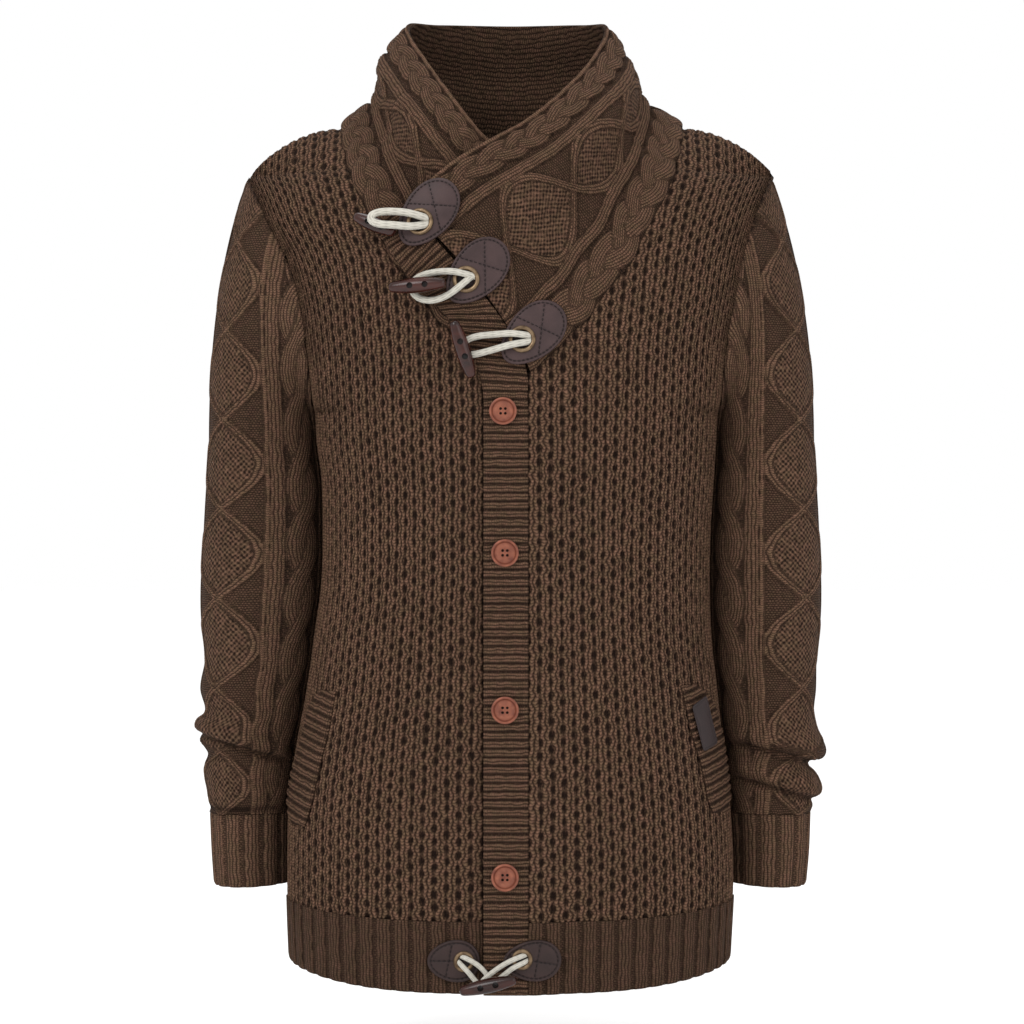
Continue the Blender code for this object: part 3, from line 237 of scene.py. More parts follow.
@dataclass(frozen=True)
class BodyForm:
    """The body without its arms: half-widths, depths, neckline, shoulder line and armholes."""

    # z, right, left
    edge_rows: tuple = (
        (-725, 187, 183), (-705, 188, 184), (-629, 190, 187), (-578, 188.5, 184), (-535, 183, 179),
        (-483, 173.5, 173.5), (-437, 167, 168.5), (-391, 161, 167), (-346, 160, 168), (-300, 161.5, 171),
        (-275, 165, 172.5), (-249, 166.5, 174), (-190, 172, 179), (-150, 178, 186), (-120, 188, 192),
        (-93, 203, 200), (-70, 213, 209), (-49, 223.5, 219.5))
    # z, front, back
    depth_rows: tuple = (
        (-725, 117, 112), (-550, 116, 110), (-400, 114, 101), (-250, 113, 111), (-120, 108, 108),
        (-60, 100, 102), (-8, 92, 95))
    # z, half-width
    neckline: tuple = (
        (-232, 2), (-219.5, 16), (-206.5, 32), (-191, 46), (-177, 61), (-154, 76.5), (-129, 98),
        (-103, 110), (-82, 122), (-64, 131), (-37, 139.5), (-23, 143), (-8, 145))
    neck_x: float = 145.0
    neck_z: float = -8.0
    tip_x: float = 222.0
    tip_z: float = -49.0
    armpit_z: float = -249.0
    armhole_depth: float = 57.0
    shoulder_round: float = 75.0
    back_neck_drop: float = 24.0
    right_band: float = 23.0
    left_band: float = 13.0
    band_lift: float = 7.0
    band_lift_reach: float = 40.0
    rib_top_z: float = -665.5
    rib_top_rise: float = 8.0
    hem_z: float = -724.0
    hem_rise: float = 14.0

    def band_edge(self, side: Side) -> float:
        """Distance from the middle to the start of a front panel."""
        return self.right_band if side == Side.RIGHT else self.left_band

    def edge(self, side: Side, z: Array) -> Array:
        """Half-width at a height, up to the armhole or the side seam."""
        return smooth(self.edge_rows, side.column, z)

    def shoulder(self, x: Array) -> Array:
        """Height of the shoulder seam.

        Args:
            x: places across the body.

        Returns:
            The heights.
        """
        out = (np.abs(x) - self.neck_x) / (self.tip_x - self.neck_x)
        round_end = 1 - np.sqrt(1 - np.clip(out, 0, 1) ** 2.6)
        fall = np.where(out > 0, 0.65 * np.abs(out) ** 1.8 + 0.35 * round_end, 0.65 * out)
        return self.neck_z - fall * (self.neck_z - self.tip_z)

    def rim(self, z: Array) -> Array:
        """Half-depth of the armhole at each height, none at the side seam."""
        middle, half = (self.tip_z + self.armpit_z) / 2, (self.tip_z - self.armpit_z) / 2
        return self.armhole_depth * np.sqrt(1 - np.clip((z - middle) / half, -1, 1) ** 2)

    def depth(self, face: Face, x: Array, z: Array) -> Array:
        """Depth of the outer surface.

        Args:
            face: front or back.
            x: places across the body.
            z: heights.

        Returns:
            The depths, less than 0 in front.
        """
        x, z = np.asarray(x, float), np.asarray(z, float)
        edge = np.where(x < 0, self.edge(Side.RIGHT, z), self.edge(Side.LEFT, z))
        share = np.clip(np.abs(x) / edge, 0, 1)
        square = 1.0 - 0.58 * ease((-180.0 - z) / 69.0)
        rim = self.rim(z)
        middle = smooth(self.depth_rows, face.column, z)
        depth = rim + (middle - rim) * (1 - share ** 2.5) ** square
        drop = np.clip((self.shoulder(x) - z) / self.shoulder_round, 0, 1)
        rounding = np.sqrt(1 - (1 - drop) ** 2)
        return int(face) * (rim * rounding ** 0.35 + (depth - rim) * rounding)

    def surface(self, face: Face, x: Array, z: Array) -> Array:
        """The body with the wearer's left front raised to meet the band on top.

        Args:
            face: front or back.
            x: places across.
            z: heights.

        Returns:
            The depths.
        """
        near = (np.asarray(x, float) - self.left_band) / self.band_lift_reach
        lift = np.where((face < 0) & (near > -0.5), self.band_lift * (1 - ease(near)), 0.0)
        return self.depth(face, x, z) - lift

    def column(self, face: Face, side: Side, start: float, share: float, z: Array) -> Array:
        """Points up the cloth at a share of the way from a distance off the middle to the side."""
        x = int(side) * (start + share * (self.edge(side, z) - start))
        return np.stack([x, self.surface(face, x, z), z], axis=1)

    def rib_top(self, share: float) -> float:
        """Height of the hem rib's top, which rises towards the side."""
        return self.rib_top_z + self.rib_top_rise * share ** 3

    def hem(self, share: float) -> float:
        """Height of the hem, which rises towards the side."""
        return self.hem_z + self.hem_rise * share ** 3

    def neck_half(self, z: Array) -> Array:
        """Half-width of the front neckline."""
        return smooth(self.neckline, 1, z)

    def top(self, face: Face, side: Side, share: float) -> float:
        """Height at which a column of the cloth meets the neckline or the shoulder seam.

        Args:
            face: front or back.
            side: the wearer's.
            share: how far the column stands from its start to the side.

        Returns:
            The height.
        """
        if face == Face.FRONT:
            heights = np.arange(self.neck_z, self.neckline[0][0], -0.2)
            start = self.band_edge(side)
            across = start + share * (self.edge(side, heights) - start)
            inside = (across >= self.neck_half(heights) - NECK_TUCK) & (heights <= self.shoulder(across))
            return float(heights[np.argmax(inside)])
        across = share * float(self.edge(side, self.tip_z))
        if across > self.neck_x:
            return float(self.shoulder(across))
        return self.neck_z + NECK_TUCK - self.back_neck_drop * (1 - (across / self.neck_x) ** 2)

    def armhole(self, side: Side, faces: Array, angles: Array) -> Array:
        """Points on the armhole.

        Args:
            side: the wearer's.
            faces: -1 for the front's half and 1 for the back's.
            angles: degrees round it, 0 at the shoulder tip and 180 at the armpit.

        Returns:
            The points.
        """
        middle, half = (self.tip_z + self.armpit_z) / 2, (self.tip_z - self.armpit_z) / 2
        z = middle + half * np.cos(np.radians(angles))
        x = int(side) * self.edge(side, z)
        front, back = self.surface(Face.FRONT, x, z), self.surface(Face.BACK, x, z)
        return np.stack([x, np.where(faces < 0, front, back), z], axis=-1)


NECK_TUCK = 1.0  # the panels run this far under the collar
STITCH_WIDE, STITCH_HIGH = 2.4, 1.9
MOSS_WIDE, MOSS_HIGH = 2.1, 2.3
GROUND_SHADE, MOSS_SHADE = 0.38, 0.16  # how dark purl and moss grounds look
FORM = BodyForm()


# ---- stitches

@dataclass
class Relief:
    """What knitting adds to a surface, one value at each point of its grid."""

    height: Array  # mm out from the plain surface
    u: Array  # stitches across
    v: Array  # rows along
    purl: Array
    moss: Array
    # painted shade, darkest at the bottom of holes and grooves
    hollow: Array  # 0 on top of the stitches, 1 at the bottom of a hole

    @classmethod
    def plain(cls, u: Array, v: Array, kind: Stitch = Stitch.KNIT) -> "Relief":
        """Flat knitting of one kind."""
        zero = np.zeros_like(u)
        return cls(zero.copy(), u, v, zero + kind.value, zero.copy(), zero + GROUND_SHADE * kind.value)

    def make_moss(self, where: Array, across: Array, along: Array) -> None:
        """Turn part of a purl ground into moss stitch, a little higher.

        Args:
            where: true at the points that turn.
            across: distance across the stitches.
            along: distance along them.
        """
        self.u = np.where(where, across / MOSS_WIDE, self.u)
        self.v = np.where(where, along / MOSS_HIGH, self.v)
        self.moss, self.purl = np.where(where, 1.0, 0.0), np.where(where, 0.0, 1.0)
        self.hollow = np.where(where, MOSS_SHADE, GROUND_SHADE)
        self.height = np.where(where, 0.4, -0.5)

    def lay(self, where: Array, height: Array, u: Array, v: Array, hollow: Array) -> None:
        """Lay raised knit stitches over part of this ground.

        Args:
            where: true at the points covered.
            height: the new height there.
            u: stitches across.
            v: rows along.
            hollow: how much painted shade each place gets.
        """
        self.height = np.where(where, height, self.height)
        self.u, self.v = np.where(where, u, self.u), np.where(where, v, self.v)
        self.purl, self.moss = np.where(where, 0.0, self.purl), np.where(where, 0.0, self.moss)
        self.hollow = np.where(where, hollow, self.hollow)


@dataclass(frozen=True)
class Waffle:
    """Half-cardigan knit: chains of stitches that snake round staggered holes."""

    repeat: float = 10.8
    height: float = 2.2
    sway: float = 0.085
    half: float = 0.42
    bar: float = 0.36
    beads_per_repeat: float = 4.0
    wander: float = 0.08

    def relief(self, u: Array, v: Array) -> Relief:
        """Stitches at a place.

        Args:
            u: columns of holes across; a hole stands at each whole number.
            v: repeats along.

        Returns:
            The relief, measured from the middle of the cloth's thickness.
        """
        v = v + self.wander * unevenness(u * 0.8, v * 0.6, 5)
        size = 1 + 0.16 * unevenness(u, v * 2, 9)
        u = u + self.wander * unevenness(u * 1.1, v * 0.9, 3)
        best = np.full_like(u, -1.0)
        chain, offset = np.zeros_like(u), np.zeros_like(u)
        for step in (-1, 0, 1):
            index = np.floor(u) + step
            turn = np.where(np.mod(index, 2) == 0, 1.0, -1.0)
            centre = index + 0.5 + self.sway * turn * np.cos(2 * np.pi * v)
            away = (u - centre) / (self.half * size)
            top = dome(away, 0.6) - 0.4 * dip(away, 0.2)
            nearer = top > best
            best = np.where(nearer, top, best)
            chain, offset = np.where(nearer, index, chain), np.where(nearer, away, offset)
        hole = np.round(u)
        phase = v + 0.5 * np.mod(hole, 2)
        floor = self.bar * (0.5 - 0.5 * np.cos(2 * np.pi * phase)) ** 1.5
        level = np.maximum(best, floor)
        # painted shade: dark down in the holes and along the lines between a chain's strands
        hollow = np.clip(1.0 - level / 0.62, 0, 0.9) + 0.3 * dip(offset, 0.2) * (best > floor)
        purl = ease((floor - best) / 0.2)
        hollow = np.clip(hollow, 0, 1)
        return Relief(self.height * (level - 0.6), 2 * chain + 1 + offset, v * self.beads_per_repeat,
                      purl, np.zeros_like(u), hollow)


@dataclass(frozen=True)
class Cable:
    """Strands of stitches that cross over each other."""

    strands: int
    reach: float  # how far a strand swings to each side
    half: float  # half a strand's width
    repeat: float  # length in which a strand comes back to its place
    height: float
    braided: bool = False
    hold: float = 0.0  # how long each strand runs straight between crossings
    dive: float = 0.35  # how far a strand sinks under the others

    def over(self, ground: Relief, across: Array, along: Array, rise: float = 0.0) -> None:
        """Lay the cable on a ground.

        Args:
            ground: the knitting it stands on.
            across: distance from the cable's middle line.
            along: distance along it.
            rise: how far the cable stands on the ground.
        """
        best = np.full_like(across, -99.0)
        u, hollow = np.zeros_like(across), np.ones_like(across)
        for strand in range(self.strands):
            turn = 2 * np.pi * (along / self.repeat + strand / self.strands)
            centre = np.sin(turn)
            if self.hold:
                centre = np.tanh(self.hold * centre) / math.tanh(self.hold)
            centre = self.reach * centre
            depth = np.sin(2 * turn) if self.braided else np.cos(turn)
            away = (across - centre) / self.half
            top = np.where(np.abs(away) < 1, dome(away, 0.5) + self.dive * (depth - 1), -99.0)
            nearer = top > best
            best = np.where(nearer, top, best)
            u = np.where(nearer, away * self.half / STITCH_WIDE + 0.5 + 8 * strand, u)
            # painted shade towards each strand's edges
            hollow = np.where(nearer, 0.8 * np.clip(1 - 1.9 * dome(away, 0.5), 0, 1), hollow)
        height = rise + self.height * best
        ground.lay(best > -0.75, height, u, along / STITCH_HIGH, hollow)


def lay_rib(ground: Relief, across: Array, along: Array, half: float, height: float, wales: int = 2) -> None:
    """Lay one straight or travelling rib of knit stitches on a ground.

    Args:
        ground: the knitting it stands on.
        across: distance from the rib's middle line.
        along: distance along it.
        half: half the rib's width.
        height: how far it stands out.
        wales: columns of stitches in it.
    """
    away = across / half
    u = (away * 0.5 + 0.5) * wales
    groove = 0.2 * np.abs(np.cos(np.pi * u)) ** 4
    top = height * (dome(away, 0.45) - groove)
    # painted shade along the rib's edges
    hollow = 0.8 * np.clip(1 - 1.7 * dome(away, 0.5), 0, 1)
    ground.lay(np.abs(away) < 1, np.maximum(top, ground.height), u, along / STITCH_HIGH, hollow)


def ribbing(count: Array, along: Array, height: float, share: float = 0.78, wales: int = 4,
            shade: float = 0.2) -> Relief:
    """Rib knit: raised wales between sunk ones.

    Args:
        count: ribs across, a whole number at the start of each.
        along: distance along the ribs.
        height: how far they stand out.
        share: share of the pitch that is raised.
        wales: columns of stitches in a rib.
        shade: how much painted shade the sunk wales get, from 0 to 1.

    Returns:
        The relief.
    """
    part = np.mod(count, 1.0)
    away = part / share * 2 - 1
    raised = part < share
    ground = Relief.plain(np.floor(count) * 8 + part / share * wales, along / STITCH_HIGH)
    groove = 0.1 * np.abs(np.cos(np.pi * part / share * wales)) ** 4
    ground.height = np.where(raised, height * (dome(away, 0.4) - groove), 0.0)
    ground.purl = np.where(raised, 0.0, 1.0)
    sunk = np.abs((part - share) / (1 - share) - 0.5) * 2
    # painted shade at the ribs' edges and in the sunk wales
    ground.hollow = np.where(raised, shade * np.clip(1 - 1.8 * dome(away, 0.5), 0, 1),
        shade * (1 + 0.3 * (1 - sunk ** 2)))
    return ground


def seam_groove(relief: Relief, distance: Array, depth: float = 0.8, reach: float = 2.2) -> None:
    """Sink the knitting towards a seam, with painted shade in the groove.

    Args:
        relief: the knitting.
        distance: distance from the seam.
        depth: how deep it sinks.
        reach: how far off it starts to.
    """
    sink = dip(distance, reach)
    relief.height = relief.height * (1 - 0.7 * sink) - depth * sink
    relief.hollow = np.clip(relief.hollow + 0.25 * sink, 0, 1)


# ---- meshes

# what the inside of the cloth shows: purl, a little shaded
INSIDE = {"purl": 1.0, "moss": 0.0, "hollow": 0.3}


@dataclass
class ClothFace:
    """The outer face of a knitted piece, a grid of rows by columns."""

    name: str
    points: Array
    relief: Relief
    wall: float = 3.0
    coarse: int = 4
    round_columns: bool = False
    outward: int = 1
    inner_relief: Optional[Array] = None
    inner_stitches: Optional[Array] = None
    normals: Array = field(init=False)

    def __post_init__(self) -> None:
        """Work out the outward normals."""
        along = np.gradient(self.points, axis=0)
        if self.round_columns:
            across = (np.roll(self.points, -1, axis=1) - np.roll(self.points, 1, axis=1)) / 2
        else:
            across = np.gradient(self.points, axis=1)
        normals = np.cross(across, along) * self.outward
        self.normals = normals / np.maximum(np.linalg.norm(normals, axis=2, keepdims=True), 1e-9)

    def flat_size(self) -> tuple[float, float, float]:
        """Measure the piece laid flat.

        Returns:
            Width, length and area, in metres.
        """
        closing = self.points[:, :1] if self.round_columns else self.points[:, :0]
        loop = np.concatenate([self.points, closing], axis=1)
        across, along = np.diff(loop, axis=1), np.diff(loop, axis=0)
        width = np.linalg.norm(across, axis=2).sum(axis=1).max() * MM
        length = np.linalg.norm(along, axis=2).sum(axis=0).max() * MM
        area = np.linalg.norm(np.cross(across[:-1], along[:, :-1]), axis=2).sum() * MM * MM
        return float(width), float(length), float(min(area, width * length))

    def sample(self, count: int, wrap: bool) -> Array:
        """Every few indices of a row or column, with the last one where it doesn't close on itself."""
        last = [] if wrap else [count - 1]
        return np.array(list(range(0, count if wrap else count - 1, self.coarse)) + last)

    def build(self) -> Piece:
        """Make the closed wall: raised outside, plainer inside, rims between them.

        Returns:
            The object, in the scene.
        """
        rows, columns = self.points.shape[:2]
        outer = self.points + self.relief.height[..., None] * self.normals
        inner_rows, inner_columns = self.sample(rows, False), self.sample(columns, self.round_columns)
        pick = np.ix_(inner_rows, inner_columns)
        raised = np.zeros((rows, columns)) if self.inner_relief is None else self.inner_relief
        inner = self.points[pick] - (self.wall + raised[pick])[..., None] * self.normals[pick]
        inside = grid_quads(*inner.shape[:2], wrap=self.round_columns)[:, [0, 3, 2, 1]]
        faces = [grid_quads(rows, columns, self.round_columns), rows * columns + inside]
        stitches = np.stack([self.relief.u, self.relief.v], axis=-1)
        inner_uv = stitches if self.inner_stitches is None else self.inner_stitches
        uv = np.concatenate([stitches.reshape(-1, 2), inner_uv[pick].reshape(-1, 2)])
        layers = {key: np.append(getattr(self.relief, key), np.full(inner[..., 0].size, level))
                  for key, level in INSIDE.items()}
        points = np.concatenate([outer.reshape(-1, 3), inner.reshape(-1, 3)])
        return write_mesh(self.name, points, faces, self.rims(inner_rows, inner_columns), uv, layers)

    def rims(self, inner_rows: Array, inner_columns: Array) -> Corners:
        """Faces that join the fine outer rim to the coarser inner one.

        Args:
            inner_rows: the outer rows that the inner grid keeps.
            inner_columns: the outer columns that the inner grid keeps.

        Returns:
            The faces.
        """
        (rows, columns), few = self.points.shape[:2], len(inner_columns)
        first = rows * columns
        marks = list(inner_columns) + ([columns] if self.round_columns else [])
        made: Corners = []
        for row, inner_row, flip in ((0, 0, False), (rows - 1, len(inner_rows) - 1, True)):
            fine = [row * columns + c % columns for c in range(marks[-1] + 1)]
            inner = [first + inner_row * few + k % few for k in range(len(marks))]
            made += self.rim(fine, marks, inner, flip)
        if not self.round_columns:
            for column, inner_column, flip in ((0, 0, True), (columns - 1, few - 1, False)):
                fine = [r * columns + column for r in range(rows)]
                inner = [first + k * few + inner_column for k in range(len(inner_rows))]
                made += self.rim(fine, list(inner_rows), inner, flip)
        return made

    @staticmethod
    def rim(fine: list[int], marks: list[int], inner: list[int], flip: bool) -> Corners:
        """Fans from each inner edge to the outer edges it spans.

        Args:
            fine: points of the outer edge.
            marks: the places in it that the inner edge keeps.
            inner: points of the inner edge.
            flip: whether to turn the faces over.

        Returns:
            The faces.
        """
        made: Corners = []
        for k in range(len(marks) - 1):
            a, b = inner[k], inner[k + 1]
            low, high = marks[k], marks[k + 1]
            middle = (low + high) // 2
            fan = [(fine[i + 1], fine[i], a) for i in range(low, middle)]
            fan.append((fine[middle], a, b))
            fan += [(fine[i + 1], fine[i], b) for i in range(middle, high)]
            made += [face[::-1] if flip else face for face in fan]
        return made


def write_mesh(name: str, points: Array, quads: list[Array], others: Corners,
               uv: Array, layers: dict[str, Array]) -> Piece:
    """Write a closed mesh with its stitch map and layers, faces turned outwards.

    Args:
        name: the piece's name.
        points: places in millimetres.
        quads: arrays of four-sided faces.
        others: further faces.
        uv: stitches across and rows along, for each point.
        layers: named values for each point.

    Returns:
        The object, in the scene.
    """
    four = np.concatenate(quads) if quads else np.zeros((0, 4), int)
    corners = np.concatenate([four.reshape(-1)] + [np.array(face) for face in others]).astype(np.int32)
    totals = np.concatenate([np.full(len(four), 4), np.array([len(face) for face in others], int)])
    starts = np.concatenate([[0], np.cumsum(totals)[:-1]]).astype(np.int32)
    if volume(points, corners, starts, totals) < 0:
        ends = starts + totals
        place = np.arange(len(corners))
        owner = np.repeat(np.arange(len(starts)), totals)
        corners = corners[starts[owner] + ends[owner] - 1 - place]
    mesh = bpy.data.meshes.new(name)
    mesh.vertices.add(len(points))
    mesh.vertices.foreach_set("co", (points * MM).astype(np.float32).reshape(-1))
    mesh.loops.add(len(corners))
    mesh.loops.foreach_set("vertex_index", corners)
    mesh.polygons.add(len(starts))
    mesh.polygons.foreach_set("loop_start", starts)
    mesh.update(calc_edges=True)
    mesh.validate()
    stitch_map = mesh.uv_layers.new(name="Knit")
    index = np.zeros(len(mesh.loops), np.int32)
    mesh.loops.foreach_get("vertex_index", index)
    stitch_map.data.foreach_set("uv", uv[index].astype(np.float32).reshape(-1))
    for key, values in layers.items():
        layer = mesh.attributes.new(key, "FLOAT", "POINT")
        layer.data.foreach_set("value", values.astype(np.float32))
    mesh.shade_smooth()
    made = bpy.data.objects.new(name, mesh)
    bpy.context.scene.collection.objects.link(made)
    return made


def volume(points: Array, corners: Array, starts: Array, totals: Array) -> float:
    """Signed volume of a closed mesh of three- and four-sided faces.

    Args:
        points: places.
        corners: the faces' corners in one row.
        starts: where each face starts in it.
        totals: how many corners each face has.

    Returns:
        The volume, less than 0 where the faces point inwards.
    """
    a, b, c = (points[corners[starts + k]] for k in range(3))
    total = np.einsum("ij,ij->i", a, np.cross(b, c)).sum()
    four = starts[totals == 4]
    a, c, d = (points[corners[four + k]] for k in (0, 2, 3))
    return float(total + np.einsum("ij,ij->i", a, np.cross(c, d)).sum())


def dress(piece: Piece, finish: "Finish", slot: str, *nodes: str) -> Piece:
    """Give a piece its finish, its body and the nodes it stands for.

    Args:
        piece: the piece.
        finish: its finish.
        slot: not used.
        nodes: the nodes it stands for, if any.

    Returns:
        The piece, named after its node.
    """
    piece.data.materials.clear()
    piece.data.materials.append(finish.material())
    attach(piece, BODY)
    if nodes:
        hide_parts(*nodes)
        piece.name = f"{nodes[0]}_{finish.name.split('_')[-1]}"
    log.info("%s: %d faces", piece.name, len(piece.data.polygons))
    return piece


def knit_piece(face: ClothFace, finish: "Finish", slot: str) -> Piece:
    """Args:
        face: its outer face, with the node's name.
        finish: its yarn.
        slot: the name of its material slot.

    Returns:
        The piece.
    """
    width, length, area = face.flat_size()
    piece = dress(face.build(), finish, slot, face.name)
    return piece


# ---- finishes

class Nodes:
    """A material's node tree, with short ways to add to it."""

    def __init__(self, name: str) -> None:
        """Start a material with a plain shader.

        Args:
            name: the material's name.
        """
        self.material = bpy.data.materials.new(name)
        self.material.use_nodes = True
        self.tree = self.material.node_tree
        self.shader = self.tree.nodes["Principled BSDF"]

    def feed(self, socket: Socket, source: object) -> None:
        """Set a socket's value, or link it.

        Args:
            socket: the input.
            source: a value or another socket.
        """
        if isinstance(source, Socket):
            self.tree.links.new(source, socket)
        else:
            socket.default_value = source

    def node(self, kind: str, output: object, inputs: dict, **settings: object) -> Socket:
        """Add a node.

        Args:
            kind: its type, without the words that all types start with.
            output: the name or number of the output to return.
            inputs: what to feed its inputs, by name or number.
            settings: its own settings.

        Returns:
            The output.
        """
        made = self.tree.nodes.new("ShaderNode" + kind)
        for key, value in settings.items():
            setattr(made, key, value)
        for key, source in inputs.items():
            self.feed(made.inputs[key], source)
        return made.outputs[output]

    def sum(self, operation: str, *sources: object, clamp: bool = False) -> Socket:
        """A Math node's result."""
        return self.node("Math", 0, dict(enumerate(sources)), operation=operation, use_clamp=clamp)

    def times(self, one: object, other: object, clamp: bool = False) -> Socket:
        """Two numbers multiplied."""
        return self.sum("MULTIPLY", one, other, clamp=clamp)

    def line(self, source: object, slope: object, start: object, clamp: bool = False) -> Socket:
        """A number times a slope, plus a start."""
        return self.sum("MULTIPLY_ADD", source, slope, start, clamp=clamp)

    def mix(self, factor: object, low: object, high: object) -> Socket:
        """A colour between two."""
        return self.node("Mix", 2, {0: factor, 6: low, 7: high}, data_type="RGBA")

    def blend(self, factor: object, low: object, high: object) -> Socket:
        """A number between two."""
        return self.node("Mix", 0, {0: factor, 2: low, 3: high})

    def layer(self, name: str) -> Socket:
        """A mesh's named value."""
        return self.node("Attribute", "Fac", {}, attribute_name=name)

    def unshaded(self) -> Socket:
        """1 where no shade is painted and 0 where the painted shade is full, at the bottom of a hole."""
        return self.sum("SUBTRACT", 1.0, self.layer("hollow"), clamp=True)

    def stitches(self) -> tuple[Socket, Socket]:
        """Stitches across and rows along."""
        return tuple(self.node("SeparateXYZ", k, {0: self.node("UVMap", 0, {}, uv_map="Knit")})
                     for k in (0, 1))

    def place(self) -> Socket:
        """Where the point is on the object, in metres."""
        return self.node("TexCoord", "Object", {})

    def noise(self, scale: float, detail: float = 2.0, place: Optional[Socket] = None) -> Socket:
        """Smooth random values from 0 to 1, with features 1/scale metres across."""
        inputs = {"Vector": place or self.place(), "Scale": scale, "Detail": detail}
        return self.node("TexNoise", "Fac", inputs)

    def bump(self, height: object, distance: float, strength: float) -> None:
        """Raise the shader's surface by a height from 0 to 1."""
        self.feed(self.shader.inputs["Normal"], self.node("Bump", 0, {
            "Distance": distance, "Strength": strength, "Height": height}))

    def set(self, **values: object) -> None:
        """Set or link the shader's sockets by name, with _ for a space."""
        for key, source in values.items():
            self.feed(self.shader.inputs[key.replace("_", " ")], source)


def shade(*levels: int) -> Colour:
    """A colour as a screen shows it, from red, green and blue levels, turned into light."""
    shares = [level / 255 for level in levels]
    return (*(s / 12.92 if s <= 0.04045 else ((s + 0.055) / 1.055) ** 2.4 for s in shares), 1.0)


@dataclass(frozen=True)
class Finish:
    """A named finish, made once."""

    name: str

    def material(self) -> bpy.types.Material:
        """The finish's material, from the scene or new.

        Returns:
            The material.
        """
        if self.name not in bpy.data.materials:
            self.paint(Nodes(self.name))
        return bpy.data.materials[self.name]

    def paint(self, nodes: Nodes) -> None:
        """Fill in the shader."""
        raise NotImplementedError


@dataclass(frozen=True)
class Yarn(Finish):
    """Plied yarn, knitted: each stitch is a slanted pair of legs, with painted shade between them and in the
    mesh's hollow layer.
    """

    light: Colour
    other: Colour
    deep: Colour
    stitch_depth: float = 0.0009
    slant: float = 1.1
    bead: float = 0.8
    level: float = 1.0  # how light the yarn is on top
    wander: float = 1.1  # how far stitches stray from their rows and wales
    wander_scale: float = 130.0
    fuzz_scale: float = 1500.0
    heather_scale: float = 330.0
    speck_scale: float = 420.0
    tone_scale: float = 150.0
    broad_scale: float = 9.0

    def wave(self, nodes: Nodes, phase: object, power: float) -> Socket:
        """A rounded bump at the middle of each whole step of a phase."""
        sine = nodes.sum("SINE", nodes.times(phase, math.pi))
        return nodes.sum("POWER", nodes.sum("ABSOLUTE", sine), power)

    def stitch(self, nodes: Nodes) -> Socket:
        """Height and light of the stitches.

        Args:
            nodes: the material's nodes.

        Returns:
            A number from 0 to 1.
        """
        u, v = (nodes.sum("ADD", count, nodes.line(nodes.noise(scale, 1.0), self.wander, -0.5 * self.wander))
                for count, scale in zip(nodes.stitches(), (self.wander_scale, 1.37 * self.wander_scale)))
        slanted = nodes.line(nodes.sum("PINGPONG", u, 0.5), self.slant, v)
        leg = nodes.line(self.wave(nodes, slanted, 0.8), self.bead, 1 - self.bead)
        knit = nodes.times(self.wave(nodes, u, 0.9), leg)
        brick = nodes.line(nodes.sum("FLOOR", v), 0.5, u)
        purl = nodes.times(self.wave(nodes, v, 0.8), nodes.line(self.wave(nodes, brick, 1.0), 0.8, 0.2))
        check = nodes.times(*(nodes.sum("SINE", nodes.times(count, math.pi)) for count in (u, v)))
        specks = nodes.line(nodes.noise(self.speck_scale, 1.0), 1.5, -0.28)
        moss = nodes.line(check, 0.52, specks, clamp=True)
        return nodes.blend(nodes.layer("moss"), nodes.blend(nodes.layer("purl"), knit, purl), moss)

    def paint(self, nodes: Nodes) -> None:
        """Fill in the shader.

        Args:
            nodes: what to fill in.
        """
        stitch = self.stitch(nodes)
        nodes.bump(nodes.line(nodes.noise(self.fuzz_scale, 3.0), 0.3, stitch), self.stitch_depth, 0.9)
        # lit: painted light and shade of the stitches and of the hollow layer, then times random yarn tone
        lit = nodes.times(nodes.line(stitch, 1.05 * self.level, 0.03), nodes.sum("POWER", nodes.unshaded(), 1.4))
        heather = nodes.line(nodes.noise(self.heather_scale, 3.0), 1.3, 0.35)
        broad = nodes.line(nodes.noise(self.broad_scale), 0.24, 0.88)
        lit = nodes.times(lit, nodes.times(heather, broad), clamp=True)
        tone = nodes.line(nodes.noise(self.tone_scale, 2.0), 3.0, -1.0, clamp=True)
        nodes.set(Base_Color=nodes.mix(lit, self.deep, nodes.mix(tone, self.light, self.other)),
                  Roughness=0.95, Sheen_Weight=0.06, Sheen_Roughness=0.5, Sheen_Tint=self.light,
                  Specular_IOR_Level=0.08)


@dataclass(frozen=True)
class Leather(Finish):
    """Smooth purple-brown leather with a fine grain and darker cut edges, and painted shade in its sewn
    grooves and round the eyelet's hole.
    """

    light: Colour
    deep: Colour
    grain_scale: float = 900.0

    def paint(self, nodes: Nodes) -> None:
        """Fill in the shader.

        Args:
            nodes: what to fill in.
        """
        grain = nodes.node("TexVoronoi", "Distance", {"Scale": self.grain_scale, "Vector": nodes.place()})
        wear = nodes.noise(60.0, 4.0)
        tone = nodes.line(wear, 0.9, 0.05, clamp=True)
        nodes.bump(nodes.line(wear, 0.5, grain), 0.00012, 0.7)
        # colour: random wear tone, darkened by painted shade from the mesh's hollow layer
        nodes.set(Base_Color=nodes.mix(nodes.times(tone, nodes.unshaded()), self.deep, self.light),
                  Roughness=nodes.line(wear, 0.2, 0.42), Specular_IOR_Level=0.22)


